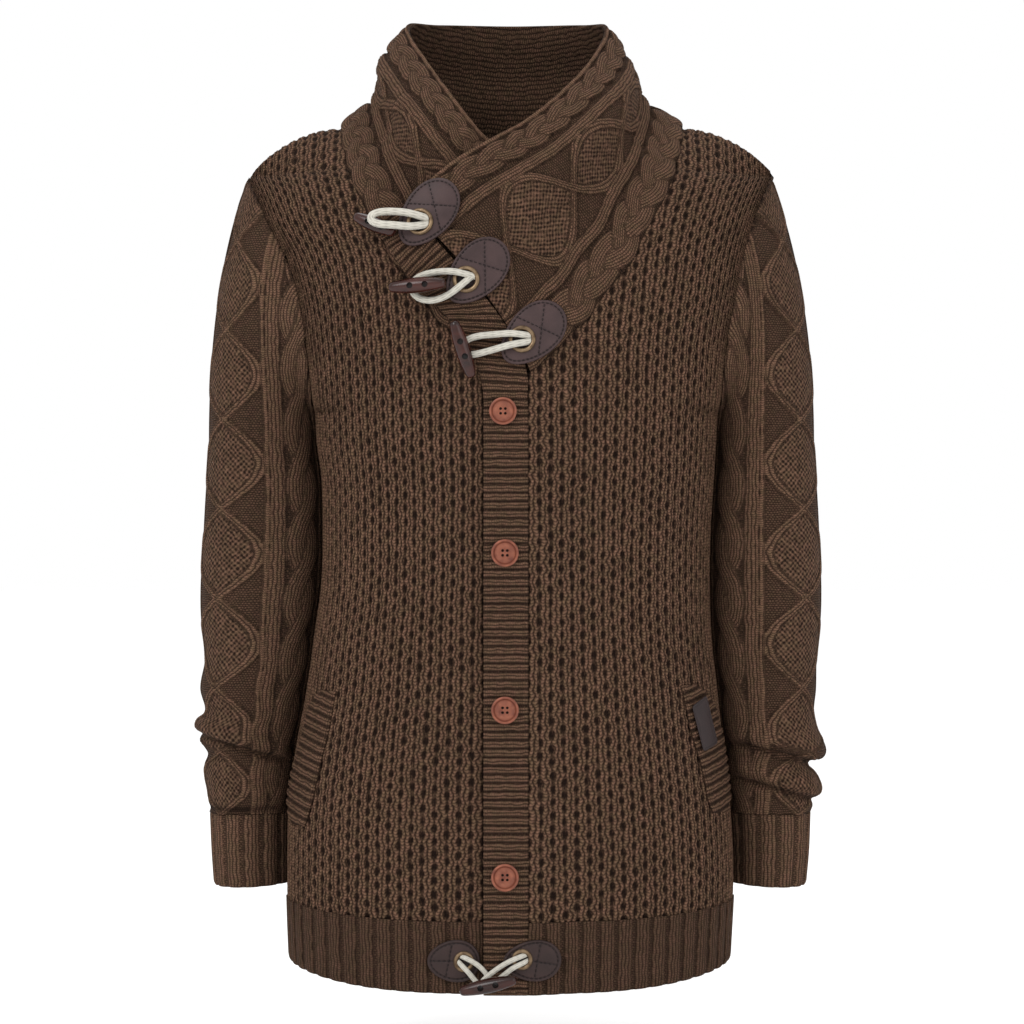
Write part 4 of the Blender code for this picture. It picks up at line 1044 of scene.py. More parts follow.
@dataclass(frozen=True)
class Hard(Finish):
    """Horn, wood or metal: streaked colour with a polished or worn surface."""

    light: Colour
    deep: Colour
    roughness: float
    metal: float = 0.0
    gloss: float = 0.3
    streak_scale: float = 160.0
    streak_stretch: tuple[float, float, float] = (1.0, 1.0, 1.0)

    def paint(self, nodes: Nodes) -> None:
        """Fill in the shader.

        Args:
            nodes: what to fill in.
        """
        stretched = nodes.node("Mapping", 0, {"Vector": nodes.place(), "Scale": self.streak_stretch})
        streak = nodes.noise(self.streak_scale, 5.0, stretched)
        sharp = nodes.line(streak, 2.4, -0.7, clamp=True)
        nodes.bump(streak, 0.0001, 0.35)
        rough = nodes.sum("ADD", nodes.line(streak, 0.14, self.roughness), nodes.layer("hollow"), clamp=True)
        # colour: streaks, darkened by painted shade from the mesh's hollow layer
        nodes.set(Base_Color=nodes.mix(nodes.times(sharp, nodes.unshaded()), self.deep, self.light),
                  Metallic=self.metal, Specular_IOR_Level=self.gloss, Roughness=rough)


@dataclass(frozen=True)
class CottonCord(Finish):
    """Tightly braided white cotton, with painted shade in the braid's grooves; u runs round the cord and v
    along it.
    """

    light: Colour
    deep: Colour
    strands: float = 8.0

    def paint(self, nodes: Nodes) -> None:
        """Fill in the shader.

        Args:
            nodes: what to fill in.
        """
        u, v = nodes.stitches()
        phases = (nodes.sum(way, nodes.times(u, self.strands), v) for way in ("ADD", "SUBTRACT"))
        one, two = (nodes.sum("SINE", nodes.times(phase, 2 * math.pi)) for phase in phases)
        braid = nodes.line(nodes.sum("MAXIMUM", one, two), 0.5, 0.5)
        soil = nodes.line(nodes.noise(120.0, 3.0), 0.3, 0.82)
        # tone: painted shade in the braid's grooves, times the cord's soiling
        tone = nodes.times(nodes.line(braid, 0.5, 0.5), soil, clamp=True)
        nodes.bump(nodes.line(nodes.noise(2500.0), 0.3, braid), 0.00025, 0.7)
        nodes.set(Base_Color=nodes.mix(tone, self.deep, self.light), Roughness=0.85, Sheen_Weight=0.1)


# light, other and dark browns of one yarn; the dark one is mixed in for painted shade as well as for random
# darker yarn
BROWNS = shade(113, 84, 68), shade(103, 81, 62), shade(22, 13, 9)
BODY_YARN = Yarn("waffle_knit", *BROWNS, level=0.88)
SLEEVE_YARN = Yarn("cable_knit", *BROWNS, level=0.88)
COLLAR_YARN = Yarn("collar_knit", *BROWNS, level=0.83)
RIB_YARN = Yarn("rib_knit", *BROWNS, level=0.84)
# the hem is the same yarn, painted darker as shade by its low level
SHADED_HEM_YARN = Yarn("hem_knit", *BROWNS, level=0.5)
PATCH_LEATHER = Leather("patch_leather", shade(74, 56, 55), shade(36, 26, 26))
HEM_LEATHER = Leather("hem_leather", shade(60, 43, 40), shade(27, 18, 17))
TAB_LEATHER = Leather("tab_leather", shade(54, 42, 42), shade(27, 20, 20))
STITCH_THREAD = Leather("stitch_thread", shade(34, 24, 24), shade(18, 13, 13))
BUTTON_HORN = Hard("button_horn", shade(140, 82, 60), shade(92, 46, 33), 0.34)
TOGGLE_WOOD = Hard("toggle_wood", shade(64, 28, 20), shade(19, 9, 7), 0.16, gloss=0.34, streak_scale=90.0,
    streak_stretch=(0.35, 1.0, 1.0))
EYELET_BRASS = Hard("eyelet_brass", shade(146, 124, 98), shade(66, 50, 38), 0.3, metal=1.0)
LOOP_CORD = CottonCord("cord_cotton", shade(188, 184, 173), shade(92, 86, 76))


# ---- knitted pieces

def soft_waves(x: Array, z: Array) -> Array:
    """Broad unevenness of cloth that hangs."""
    return 0.9 * (0.5 * np.sin(x / 47.0 + 0.8 * np.sin(z / 90.0)) + 0.5 * np.sin(z / 71.0 + x / 120.0 + 1.3))


@dataclass(frozen=True)
class Spacing:
    """How the columns of a knitted panel are spread from the middle to the side."""

    z: float  # the height at which they are even
    pitch: float  # about how wide one repeat of the knit is
    crowding: float = 0.0  # repeats stand this much closer by the side seam
    marks: int = 400

    def shares(self, face: Face, side: Side, start: float, samples: int) -> tuple[Array, Array]:
        """Columns spaced along the cloth, with a whole number of repeats.

        Args:
            face: front or back.
            side: the wearer's.
            start: distance from the middle to the first column.
            samples: columns in each repeat.

        Returns:
            Each column's share of the way from the first to the side, and its count of repeats.
        """
        fine = np.sin(np.linspace(0, math.pi / 2, self.marks))
        x = int(side) * (start + fine * (float(FORM.edge(side, self.z)) - start))
        run = run_of(np.stack([x, FORM.depth(face, x, np.full_like(x, self.z))], axis=1))
        repeats = int(round(run[-1] / self.pitch))
        count = np.linspace(0, repeats, repeats * samples + 1)
        along = run / run[-1]
        return np.interp(count / repeats, along * (1 - self.crowding + self.crowding * along), fine), count

    def back(self, samples: int) -> list[tuple[Side, Array, Array]]:
        """Sides, shares and counts of the back's columns, from the wearer's right to the left."""
        (right, count), (left, more) = (self.shares(Face.BACK, side, 0.0, samples) for side in Side)
        return [(Side.RIGHT, right[::-1], -count[::-1]), (Side.LEFT, left[1:], more[1:])]


@dataclass
class BodyPanels:
    """The two fronts and the back in waffle knit, from the rib to the neckline and shoulders."""

    waffle: Waffle = Waffle()
    spacing: Spacing = Spacing(-560.0, 8.7, 0.15)
    front_samples: int = 7
    back_samples: int = 4
    front_step: float = 1.95
    back_step: float = 2.5
    packed: float = 0.03

    def column(self, face: Face, side: Side, start: float, share: float) -> Array:
        """One column's line up the cloth, from the rib to the neckline or the shoulder.

        Args:
            face: front or back.
            side: the wearer's.
            start: distance from the middle to the first column.
            share: its share of the way from the first to the side.

        Returns:
            Points up the line.
        """
        bottom, rise = FORM.rib_top(share), 1 - np.linspace(1, 0, 260) ** 2.2
        heights = bottom + rise * (FORM.top(face, side, share) - bottom)
        return FORM.column(face, side, start, share, heights)

    def grid(self, lines: list[Array], step: float) -> tuple[Array, Array]:
        """Points at equal distances up each column, the rest packed under its top.

        Args:
            lines: the columns.
            step: distance between rows.

        Returns:
            The points and their distances up the cloth.
        """
        runs = [run_of(line) for line in lines]
        rows = np.arange(int(max(run[-1] for run in runs) / step))
        marks = [np.minimum(rows * step, run[-1] - (len(rows) - 1 - rows) * self.packed) for run in runs]
        points = np.stack([points_along(*column) for column in zip(lines, runs, marks)], axis=1)
        run = np.stack(marks, axis=1)
        points[..., 1] += soft_waves(points[..., 0], points[..., 2]) * ease(run / 40.0)
        return points, run

    def front(self, side: Side) -> Piece:
        """One front panel.

        Args:
            side: the wearer's.

        Returns:
            The piece.
        """
        start = FORM.band_edge(side)
        shares, count = self.spacing.shares(Face.FRONT, side, start, self.front_samples)
        lines = [self.column(Face.FRONT, side, start, share) for share in shares]
        points, run = self.grid(lines, self.front_step)
        relief = self.waffle.relief(count[None, :] + 0 * run, run / self.waffle.repeat)
        seam_groove(relief, run[-1:] - run)
        return knit_piece(ClothFace(side.node("front"), points, relief, outward=int(side)), BODY_YARN, "body")

    def back(self) -> Piece:
        """The back panel.

        Returns:
            The piece.
        """
        halves = self.spacing.back(self.back_samples)
        lines = [self.column(Face.BACK, side, 0.0, share) for side, shares, _ in halves for share in shares]
        points, run = self.grid(lines, self.back_step)
        counts = np.concatenate([count for _, _, count in halves])
        relief = self.waffle.relief(counts[None, :] + 0 * run, run / self.waffle.repeat)
        seam_groove(relief, run[-1:] - run)
        edge = np.minimum(counts - counts[0], counts[-1] - counts)
        seam_groove(relief, edge[None, :] * self.spacing.pitch + 0 * run)
        return knit_piece(ClothFace("back", points, relief, outward=-1), BODY_YARN, "body")

    def build(self) -> list[Piece]:
        """The three panels, fronts first."""
        return [self.front(Side.RIGHT), self.front(Side.LEFT), self.back()]


@dataclass
class HemRib:
    """The ribbed hem in three lengths."""

    spacing: Spacing = Spacing(FORM.hem_z, 15.0, marks=300)
    height: float = 1.7
    samples: int = 14
    step: float = 2.0
    turn: float = 1.6

    def piece(self, name: str, face: Face, sides: list[tuple[Side, Array, Array]], start: float) -> Piece:
        """One length of hem.

        Args:
            name: the node it stands for.
            face: front or back.
            sides: side, shares and rib counts, from one end to the other.
            start: distance from the middle to the first column of a front.

        Returns:
            The piece.
        """
        climb = np.linspace(0, 1, int((FORM.rib_top_z - FORM.hem_z) / self.step))
        heights = [(side, share, FORM.hem(share) + climb * (FORM.rib_top(share) - FORM.hem(share)))
                   for side, shares, _ in sides for share in shares]
        points = np.stack([FORM.column(face, side, start, share, z) for side, share, z in heights], axis=1)
        up = points[..., 2] - points[:1, :, 2]
        relief = ribbing(np.concatenate([count for _, _, count in sides]) + 0 * up, up, self.height)
        relief.height -= self.turn * dip(up, 1.8)
        outward = -int(face) if points[0, 0, 0] < points[0, -1, 0] else int(face)
        return knit_piece(ClothFace(name, points, relief, 2.6, outward=outward), SHADED_HEM_YARN, "rib")

    def build(self) -> list[Piece]:
        """The three lengths, fronts first.

        Returns:
            The pieces.
        """
        made = []
        for side in Side:
            start = FORM.band_edge(side)
            spread = self.spacing.shares(Face.FRONT, side, start, self.samples)
            made.append(self.piece(side.node("hem"), Face.FRONT, [(side, *spread)], start))
        return made + [self.piece("hem_back", Face.BACK, self.spacing.back(self.samples), 0.0)]


@dataclass
class Sleeves:
    """Two sleeves with a diamond panel on the outside and a rope cable front and back, and cuffs."""

    # z, right, left, depth
    rings: tuple = (
        (-588, 256.5, 252.5, 34.5), (-573, 256.5, 258, 36), (-558, 260, 258.5, 38), (-548, 260.5, 254, 40),
        (-538, 257.5, 261.5, 39), (-528, 263.5, 263, 43), (-517, 266, 258.5, 45), (-506, 260, 256, 44),
        (-483, 264, 257.5, 47), (-458, 260, 258, 48), (-422, 263.5, 261.5, 50), (-346, 261, 260, 52),
        (-275, 256.7, 255.8, 53))
    cuff_rings: tuple = ((-649, 251.6, 248.2, 33), (-620, 253.6, 250.8, 33.5), (-588, 255, 252, 34))
    # ring, armhole (degrees from the outer side)
    to_hole: tuple = ((0, 0), (45, 25), (75, 42), (98, 62), (120, 80), (132, 95), (150, 125), (180, 180))
    body_gap: float = 0.9
    tuck: float = 25.0  # the inner side lies this far behind the side seam
    overlap: float = 1.3
    columns: int = 168
    cap_rows: int = 92
    ring_rows: int = 176
    panel_angle: float = 48.0  # the diamonds' middle, forward of the outer side
    diamond_angle: float = 42.0  # the other angles are from the panel's middle
    # z and which crossing of the travelling ribs; the folds swallow part of the pattern
    crossings: tuple = ((-588, 8), (-534, 7), (-524, 6.55), (-480.5, 6), (-30.5, 0))
    rib_half: float = 3.6
    rib_height: float = 1.6
    slant: float = 0.8  # the travelling ribs cross the wales at an angle
    side_angle: float = 48.0
    plain_angle: float = 58.0
    rope: Cable = Cable(2, 5.6, 8.2, 96.0, 1.8, hold=0.6, dive=0.22)
    rope_angle: float = 84.0
    inner_angle: float = 108.0
    cuff_ribs: int = 13
    cuff_samples: int = 14
    cuff_rows: int = 32
    # crease z, lean towards the outer side, depth
    folds: tuple = (((-534, 13, 5.5), (-584, 0, 1.5)), ((-536, -10, 5.5), (-566, -11, 4.5)))

    def ring(self, side: Side, rows: tuple, z: Array, angles: Array) -> Array:
        """Points round the sleeve.

        Args:
            side: the wearer's.
            rows: heights, reach right and left, and half-depths.
            z: heights.
            angles: 0 faces away from the body and a quarter turn forwards.

        Returns:
            The points, a row at each height.
        """
        outer = smooth(rows, side.column, z)[:, None]
        edge = FORM.edge(side, z)[:, None]
        inner = edge - self.overlap
        depth = smooth(rows, 3, z)[:, None]
        centre, half = (outer + inner) / 2, (outer - inner) / 2
        y = self.tuck * (0.5 - 0.5 * np.cos(angles)[None, :]) ** 2 - depth * np.sin(angles)[None, :]
        x = centre + half * np.cos(angles)[None, :]
        middle = smooth(FORM.depth_rows, 2, z)[:, None]
        body = edge * (1 - np.clip(np.abs(y) / middle, 0, 1) ** 2.38) ** 0.4
        x = int(side) * np.maximum(x, body + self.body_gap)
        return np.stack([x, y, np.broadcast_to(z[:, None], x.shape)], axis=-1)

    def cap(self, side: Side, angles: Array) -> Array:
        """Rows from the armhole down to the first ring.

        Args:
            side: the wearer's.
            angles: the sleeve's columns.

        Returns:
            The points.
        """
        top = self.ring(side, self.rings, np.array([self.rings[-1][0]]), angles)[0]
        degrees = np.abs(np.degrees(np.arctan2(np.sin(angles), np.cos(angles))))
        hole = smooth(self.to_hole, 1, degrees)
        faces = np.where(np.sin(angles) > 0, -1, 1)
        start = FORM.armhole(side, faces, hole)
        reach = np.linalg.norm(top - start, axis=1)[:, None]
        cosine, sine = np.cos(np.radians(hole)), np.sin(np.radians(hole))
        leave = np.stack([int(side) * (0.2 + 0.15 * cosine), faces * 0.1 * sine, 0 * sine - 0.95], axis=1)
        leave *= reach
        t = np.linspace(0, 1, self.cap_rows, endpoint=False)[:, None, None]
        return hermite(t, start, leave, top, np.array([[0.0, 0.0, -1.0]]) * reach)

    def stitches(self, points: Array, angles: Array) -> Relief:
        """Cables, travelling ribs, moss and purl over the sleeve.

        Args:
            points: the sleeve's grid.
            angles: its columns.

        Returns:
            The relief.
        """
        z = points[..., 2]
        degrees = np.mod(np.degrees(angles) - self.panel_angle + 180, 360) - 180
        degrees = np.broadcast_to(degrees[None, :], z.shape)
        loop = np.concatenate([points, points[:, :1]], axis=1)
        girth = np.linalg.norm(np.diff(loop, axis=1), axis=2).sum(axis=1)[:, None]
        spread = np.broadcast_to(np.clip(girth, 200, 260) / 360.0, z.shape)
        flat = degrees * float(spread.mean())
        ground = Relief.plain(flat / STITCH_WIDE, z / STITCH_HIGH, Stitch.PURL)
        swing = self.diamond_angle * np.abs(np.sin(np.pi * np.interp(z, *zip(*self.crossings))))
        ground.make_moss(np.abs(degrees) < swing, flat, z)
        for sign in (1, -1):
            lay_rib(ground, (degrees - sign * self.plain_angle) * spread, z, 5.8, 0.7, 4)
            lay_rib(ground, (degrees - sign * swing) * spread * self.slant, z, self.rib_half,
                    self.rib_height, 2)
            lay_rib(ground, (degrees - sign * self.side_angle) * spread, z, 1.5, 1.0, 1)
            self.rope.over(ground, (degrees - sign * self.rope_angle) * spread * sign, z, 0.5)
            lay_rib(ground, (degrees - sign * self.inner_angle) * spread, z, 2.9, 1.0)
        return ground

    def crease(self, side: Side, relief: Relief, points: Array, angles: Array) -> None:
        """Scrunched folds above the cuff: the cloth bulges over each crease, away from the body, with painted
        shade in each crease.

        Args:
            side: the wearer's.
            relief: the knitting to fold.
            points: the sleeve's grid.
            angles: its columns.
        """
        z, outer = points[..., 2], ease((np.cos(angles)[None, :] + 0.95) / 0.5)
        for level, lean, depth in self.folds[side.column - 1]:
            up = z - level - lean * np.cos(angles)[None, :]
            over, under = dip(up - 9.0, 7.5), dip(up, 3.2)
            relief.height += outer * depth * (0.75 * over - under)
            relief.hollow = np.clip(relief.hollow + 0.5 * outer * dip(up - 0.8, 2.4), 0, 1)

    def sleeve(self, side: Side) -> Piece:
        """One sleeve from the armhole to the cuff.

        Args:
            side: the wearer's.

        Returns:
            The piece.
        """
        angles = circle(self.columns)
        heights = np.linspace(self.rings[-1][0], self.rings[0][0], self.ring_rows)
        points = np.concatenate([self.cap(side, angles), self.ring(side, self.rings, heights, angles)])
        relief = self.stitches(points, angles)
        seam_groove(relief, run_of(points), 0.7, 2.4)
        self.crease(side, relief, points, angles)
        face = ClothFace(side.node("sleeve"), points, relief, round_columns=True, outward=int(side))
        return knit_piece(face, SLEEVE_YARN, "sleeve")

    def cuff(self, side: Side) -> Piece:
        """One ribbed cuff.

        Args:
            side: the wearer's.

        Returns:
            The piece.
        """
        count = np.linspace(0, self.cuff_ribs, self.cuff_ribs * self.cuff_samples, endpoint=False)
        z = np.linspace(self.cuff_rings[-1][0], self.cuff_rings[0][0], self.cuff_rows)
        points = self.ring(side, self.cuff_rings, z, count / self.cuff_ribs * 2 * math.pi)
        down = z[:, None] - z[-1] + 0 * count[None, :]
        relief = ribbing(count + 0 * down, down, 1.7)
        relief.height -= 1.4 * dip(down, 1.8)
        face = ClothFace(side.node("cuff"), points, relief, 2.6, round_columns=True, outward=int(side))
        return knit_piece(face, RIB_YARN, "rib")

    def build(self) -> list[Piece]:
        """Both sleeves and both cuffs."""
        return [piece for side in Side for piece in (self.sleeve(side), self.cuff(side))]


@dataclass
class Collar:
    """The shawl collar, one cabled strip sewn round the neckline."""

    # (free edge x, y, z), (seam x, z), -1 for the front or 1 for the back, sag, roll
    stations: tuple = (
        ((-87.1, -108, -81.7), (14.6, -220.6), -1, 2, 6), ((-50.5, -106, -48.9), (51.8, -185.6), -1, 2, 8),
        ((-16.3, -99, -27.6), (76.4, -154.4), -1, 0, 10), ((10.7, -90, -11.9), (104.3, -115), -1, -4, 12),
        ((39.6, -73, 13.4), (125.5, -75), -1, -8, 13), ((65.2, -42, 44.5), (139.3, -37.5), -1, -11, 8),
        ((80.2, 8, 79.8), (145, -8), -1, -12, -2), ((60, 52, 89), (100, -20.6), 1, -7, 4),
        ((0, 76, 92), (0, -32), 1, 0, 6), ((-62, 52, 89), (-100, -20.6), 1, -7, 4),
        ((-88.8, 8, 80.7), (-145, -8), -1, -10, 4), ((-70.2, -42, 42.9), (-139.3, -37.5), -1, -10, 9),
        ((-51.2, -70, 13.8), (-127.6, -71), -1, -8, 12), ((-34.5, -84, -9.6), (-104, -115.5), -1, -4, 8),
        ((-19.7, -88, -26.5), (-76.5, -154.2), -1, 0, 4), ((14.7, -91, -49.1), (-46.3, -191.1), -1, 0, 2),
        ((51.5, -93, -70), (-23.5, -214), -1, 0, 0))
    bow: tuple = (5.6, 0.0, 7.0)
    bow_reach: float = 2.0
    sag_at: float = 0.28
    roll_at: float = 0.66
    fold_spread: float = 0.2
    valley: tuple = (4.3, 2.2, 0.46, 0.11, 5.0)  # station, its spread, share, its spread, depth
    rows: int = 500
    columns: int = 112
    plait: Cable = Cable(3, 5.6, 6.4, 74.0, 2.6, braided=True, dive=0.3)
    rope: Cable = Cable(3, 8.0, 9.4, 81.0, 3.0, braided=True, dive=0.26)
    plait_at: float = 15.5  # from the free edge; the rope and the low ridge from the seam
    high_ridge: float = 36.0
    low_ridge: float = 41.0
    rope_at: float = 16.5
    ridge_half: float = 5.6
    lattice_pitch: float = 150.0
    travelling_half: float = 4.4
    inside_pitch: float = 4.2

    def edges(self) -> tuple[Array, Array, Array, Array]:
        """Lines evenly spaced along the strip.

        Returns:
            Points on the free edge and on the seam, the sag and roll, and the station count.
        """
        free = np.array([row[0] for row in self.stations])
        seam = np.array([(x, float(FORM.surface(Face(face), x, z)), z)
                         for _, (x, z), face, *_ in self.stations])
        push = np.array([row[3:] for row in self.stations])
        fine = np.linspace(0, len(self.stations) - 1, 900)
        run = run_of((smooth_columns(free, fine) + smooth_columns(seam, fine)) / 2)
        steps = np.interp(np.linspace(0, run[-1], self.rows), run, fine)
        free, seam, push = (smooth_columns(values, steps) for values in (free, seam, push))
        front, back = seam[:, 1] < -1.0, seam[:, 1] > 1.0
        seam[front, 0] = np.sign(seam[front, 0]) * FORM.neck_half(seam[front, 2])
        for part, face in ((front, Face.FRONT), (back, Face.BACK)):
            seam[part, 1] = FORM.surface(face, seam[part, 0], seam[part, 2])
        return free, seam, push, steps

    def points(self) -> Array:
        """The strip without its stitches, stations by columns from the seam to the free edge.

        Returns:
            The points.
        """
        free, seam, push, steps = self.edges()
        shares = np.linspace(0, 1, self.columns)
        grid = seam[:, None] + shares[None, :, None] * (free - seam)[:, None]
        bow = np.sin(np.pi * shares ** 0.75)[None, :] * np.clip(1 - steps / self.bow_reach, 0, 1)[:, None]
        grid = grid + bow[..., None] * np.array(self.bow)
        face = ClothFace("strip", grid, Relief.plain(grid[..., 0], grid[..., 1]), outward=-1)
        window = np.sin(np.pi * shares) ** 0.5
        sag = np.exp(-((shares - self.sag_at) / self.fold_spread) ** 2) * window
        roll = np.exp(-((shares - self.roll_at) / self.fold_spread) ** 2) * window
        station, reach, share, spread, depth = self.valley
        fold = depth * (dip(steps - station, reach) + dip(steps - (16 - station), reach))[:, None]
        push = push[:, :1] * sag + push[:, 1:] * roll - fold * dip(shares - share, spread)
        return grid + push[..., None] * face.normals

    def stitches(self, points: Array) -> Relief:
        """The plait, ridges, lattice and rope across the strip.

        Args:
            points: the strip's grid.

        Returns:
            The relief.
        """
        run = run_of(points[:, self.columns // 2])
        along = np.broadcast_to(run[:, None], points.shape[:2])
        from_seam = run_of(np.moveaxis(points, 1, 0)).T
        from_edge = from_seam[:, -1:] - from_seam
        ground = Relief.plain(from_seam / STITCH_WIDE, along / STITCH_HIGH, Stitch.PURL)
        low, high = self.low_ridge, from_seam[:, -1:] - self.high_ridge
        across = from_seam - (low + high) / 2
        swing = ((high - low) / 2 - self.ridge_half) * np.cos(2 * np.pi * along / self.lattice_pitch)
        ground.make_moss(np.abs(across) < np.abs(swing), from_seam, along)
        for sign in (1, -1):
            lay_rib(ground, (across - sign * swing) * 0.85, along, self.travelling_half, 2.0, 3)
        for ridge in (low, high):
            lay_rib(ground, from_seam - ridge, along, self.ridge_half, 2.6, 4)
        self.rope.over(ground, from_seam - self.rope_at, along, 1.4)
        self.plait.over(ground, from_edge - self.plait_at, along, 1.4)
        lay_rib(ground, from_edge - 1.6, along, 2.4, 1.4, 1)
        return ground

    def build(self) -> Piece:
        """The collar, raised on both faces.

        Returns:
            The piece.
        """
        points = self.points()
        relief = self.stitches(points)
        across = run_of(np.moveaxis(points, 1, 0)).T
        seam_groove(relief, across)
        inside = 0.7 * np.cos(2 * np.pi * across / self.inside_pitch)
        along = run_of(points[:, self.columns // 2])[:, None] + 0 * across
        rows = np.stack([along / STITCH_WIDE, across / self.inside_pitch + 0.5], axis=-1)
        face = ClothFace("collar", points, relief, 3.0, 2, False, -1, inside, rows)
        return knit_piece(face, COLLAR_YARN, "collar")


@dataclass
class FrontBands:
    """The band on top, which carries the collar's end, and the band behind it."""

    # (outer x, z), (inner x, z), depth
    rows: tuple = (
        ((-113.2, -103.5), (-87.6, -82.3), 106.5), ((-103.3, -114.4), (-75, -97.5), 109.5),
        ((-86, -140), (-60.5, -113.5), 113), ((-69, -158), (-33.5, -144.5), 116),
        ((-51.8, -175.7), (-8.5, -176.5), 118.5), ((-37, -196), (6, -200), 120),
        ((-26.7, -219.1), (12.5, -222.5), 120.5), ((-23, -240), (12.6, -240), 120.5))
    straight_x: tuple = (-23.0, 13.2)
    mark_step: float = 11.7
    under_top_z: float = -222.0
    pitch: float = 6.9
    height: float = 1.3
    step: float = 1.2
    columns: int = 30

    def strip(self, name: str, outer: Array, inner: Array) -> Piece:
        """A strip between two edges with ribs across it.

        Args:
            name: the node it stands for.
            outer: points down one edge.
            inner: points down the other.

        Returns:
            The piece.
        """
        run = run_of((outer + inner) / 2)
        marks = np.linspace(0, run[-1], int(run[-1] / self.step))
        pick = np.interp(marks, run, np.arange(len(run)))
        left, right = smooth_columns(outer, pick), smooth_columns(inner, pick)
        shares = np.linspace(0, 1, self.columns)
        points = left[:, None] + shares[None, :, None] * (right - left)[:, None]
        width = np.linalg.norm(right - left, axis=1)[:, None]
        across = shares[None, :] * width
        count = (marks[-1] - marks)[:, None] / self.pitch + 0 * across
        relief = ribbing(count, across, self.height, 0.8, 2, 0.6)
        relief.height -= 0.8 * dip(np.minimum(across, width - across), 1.3)
        return knit_piece(ClothFace(name, points, relief, 2.8, outward=-1), RIB_YARN, "rib")

    def build(self) -> list[Piece]:
        """The band on top and the band behind it.

        Returns:
            The two pieces.
        """
        heights = np.arange(self.rows[-1][0][1] - self.mark_step, FORM.hem_z, -self.mark_step)
        heights = np.append(heights, FORM.hem_z)
        depth = FORM.depth(Face.FRONT, np.zeros_like(heights), heights) - FORM.band_lift
        outer, inner = (np.array([(row[edge][0], -row[2], row[edge][1]) for row in self.rows]
                                 + [(self.straight_x[edge], y, z) for z, y in zip(heights, depth)])
                        for edge in (0, 1))
        heights = np.linspace(self.under_top_z, FORM.hem_z + 1.5, 40)
        under = []
        for x in (-FORM.right_band, self.straight_x[1] - 1.0):
            x = np.full_like(heights, x)
            under.append(np.stack([x, FORM.depth(Face.FRONT, x, heights), heights], axis=1))
        return [self.strip("band_top", outer, inner), self.strip("band_under", *under)]


@dataclass
class PocketWelts:
    """A curved ribbed welt on each front by the side seam."""

    # z, inner, outer
    right: tuple = (
        (-595, 171, 182.5), (-578, 165.5, 186.5), (-557, 160.5, 184), (-541, 157, 180), (-514, 150, 172.5),
        (-492, 146, 166), (-481, 144, 157))
    left: tuple = (
        (-583, 165.5, 179), (-571, 161, 181), (-557, 158.5, 180), (-541, 155, 178), (-512, 146, 172.5),
        (-492, 142, 166.5), (-476, 138, 152))
    lift: float = 2.8
    pitch: float = 7.7
    step: float = 1.2
    columns: int = 30

    def welt(self, side: Side) -> Piece:
        """One welt.

        Args:
            side: the wearer's.

        Returns:
            The piece.
        """
        rows = self.right if side == Side.RIGHT else self.left
        heights = np.arange(rows[-1][0], rows[0][0], -self.step)
        inner, outer = (smooth(rows, k, heights)[:, None] for k in (1, 2))
        across = np.sin(np.linspace(0, math.pi / 2, self.columns))[None, :]
        edge = 0.992 * FORM.edge(side, heights)[:, None]
        x = int(side) * np.minimum(inner + across * (outer - inner), edge)
        z = np.tile(heights[:, None], (1, self.columns))
        points = np.stack([x, FORM.depth(Face.FRONT, x, z), z], axis=2)
        width = run_of(np.moveaxis(points, 1, 0)).T
        down = heights[0] - z
        relief = ribbing((down + 0.35 * (np.abs(x) - inner)) / self.pitch, width, 1.4, 0.74, 2, 0.55)
        rim = np.minimum(np.minimum(width, width[:, -1:] - width), np.minimum(down, z - heights[-1]))
        relief.height -= 1.6 * dip(rim, 1.6)
        face = ClothFace(side.node("welt"), points, relief, 2.4, outward=-int(side))
        face.points = face.points + self.lift * face.normals
        return knit_piece(face, RIB_YARN, "rib")

    def build(self) -> list[Piece]:
        """Both welts."""
        return [self.welt(side) for side in Side]


# ---- what lies on the cloth

class Cover:
    """Whatever lies in front at each place, seen from the front."""

    def __init__(self, pieces: Sequence[Piece]) -> None:
        """Index the pieces' faces."""
        scene = bpy.context.evaluated_depsgraph_get()
        self.trees = [BVHTree.FromObject(piece, scene) for piece in pieces]

    def y(self, x: float, z: float) -> float:
        """Depth of the first face behind a place.

        Args:
            x: place across.
            z: height.

        Returns:
            The depth.
        """
        start, back = Vector((x * MM, -0.4, z * MM)), Vector((0.0, 1.0, 0.0))
        spots = [tree.ray_cast(start, back)[0] for tree in self.trees]
        return min((spot.y / MM for spot in spots if spot), default=-60.0)

    def forward(self, x: float, z: float, radius: float) -> float:
        """Depth of the foremost face within a radius of a place."""
        return min(self.y(x + radius * share * math.cos(turn), z + radius * share * math.sin(turn))
                   for turn in circle(8) for share in (0.0, 0.55, 1.05))

    def fitted(self, outline: Array, lift: float) -> "Surface":
        """A smooth curved surface just in front of the cloth.

        Args:
            outline: the stretch of cloth to cover.
            lift: how far the surface stands off it.

        Returns:
            The surface.
        """
        middle = outline.mean(axis=0)
        corners = outline[::max(1, len(outline) // 20)]
        spots = np.array([middle + share * (corner - middle)
                          for corner in corners for share in (0.2, 0.4, 0.6, 0.8, 1.0)])
        depth = np.array([self.forward(x, z, 1.6) for x, z in spots])
        rows = Surface.terms(spots, middle)
        weights = np.linalg.lstsq(rows, depth, rcond=None)[0]
        weights[0] += float(np.percentile(depth - rows @ weights, 4)) - lift
        return Surface(middle, weights)

    def seat(self, points: Array, gap: float = 0.2) -> float:
        """How far a piece moves back in y until it only just clears what is behind it."""
        return min(self.y(x, z) - y for x, y, z in points) - gap


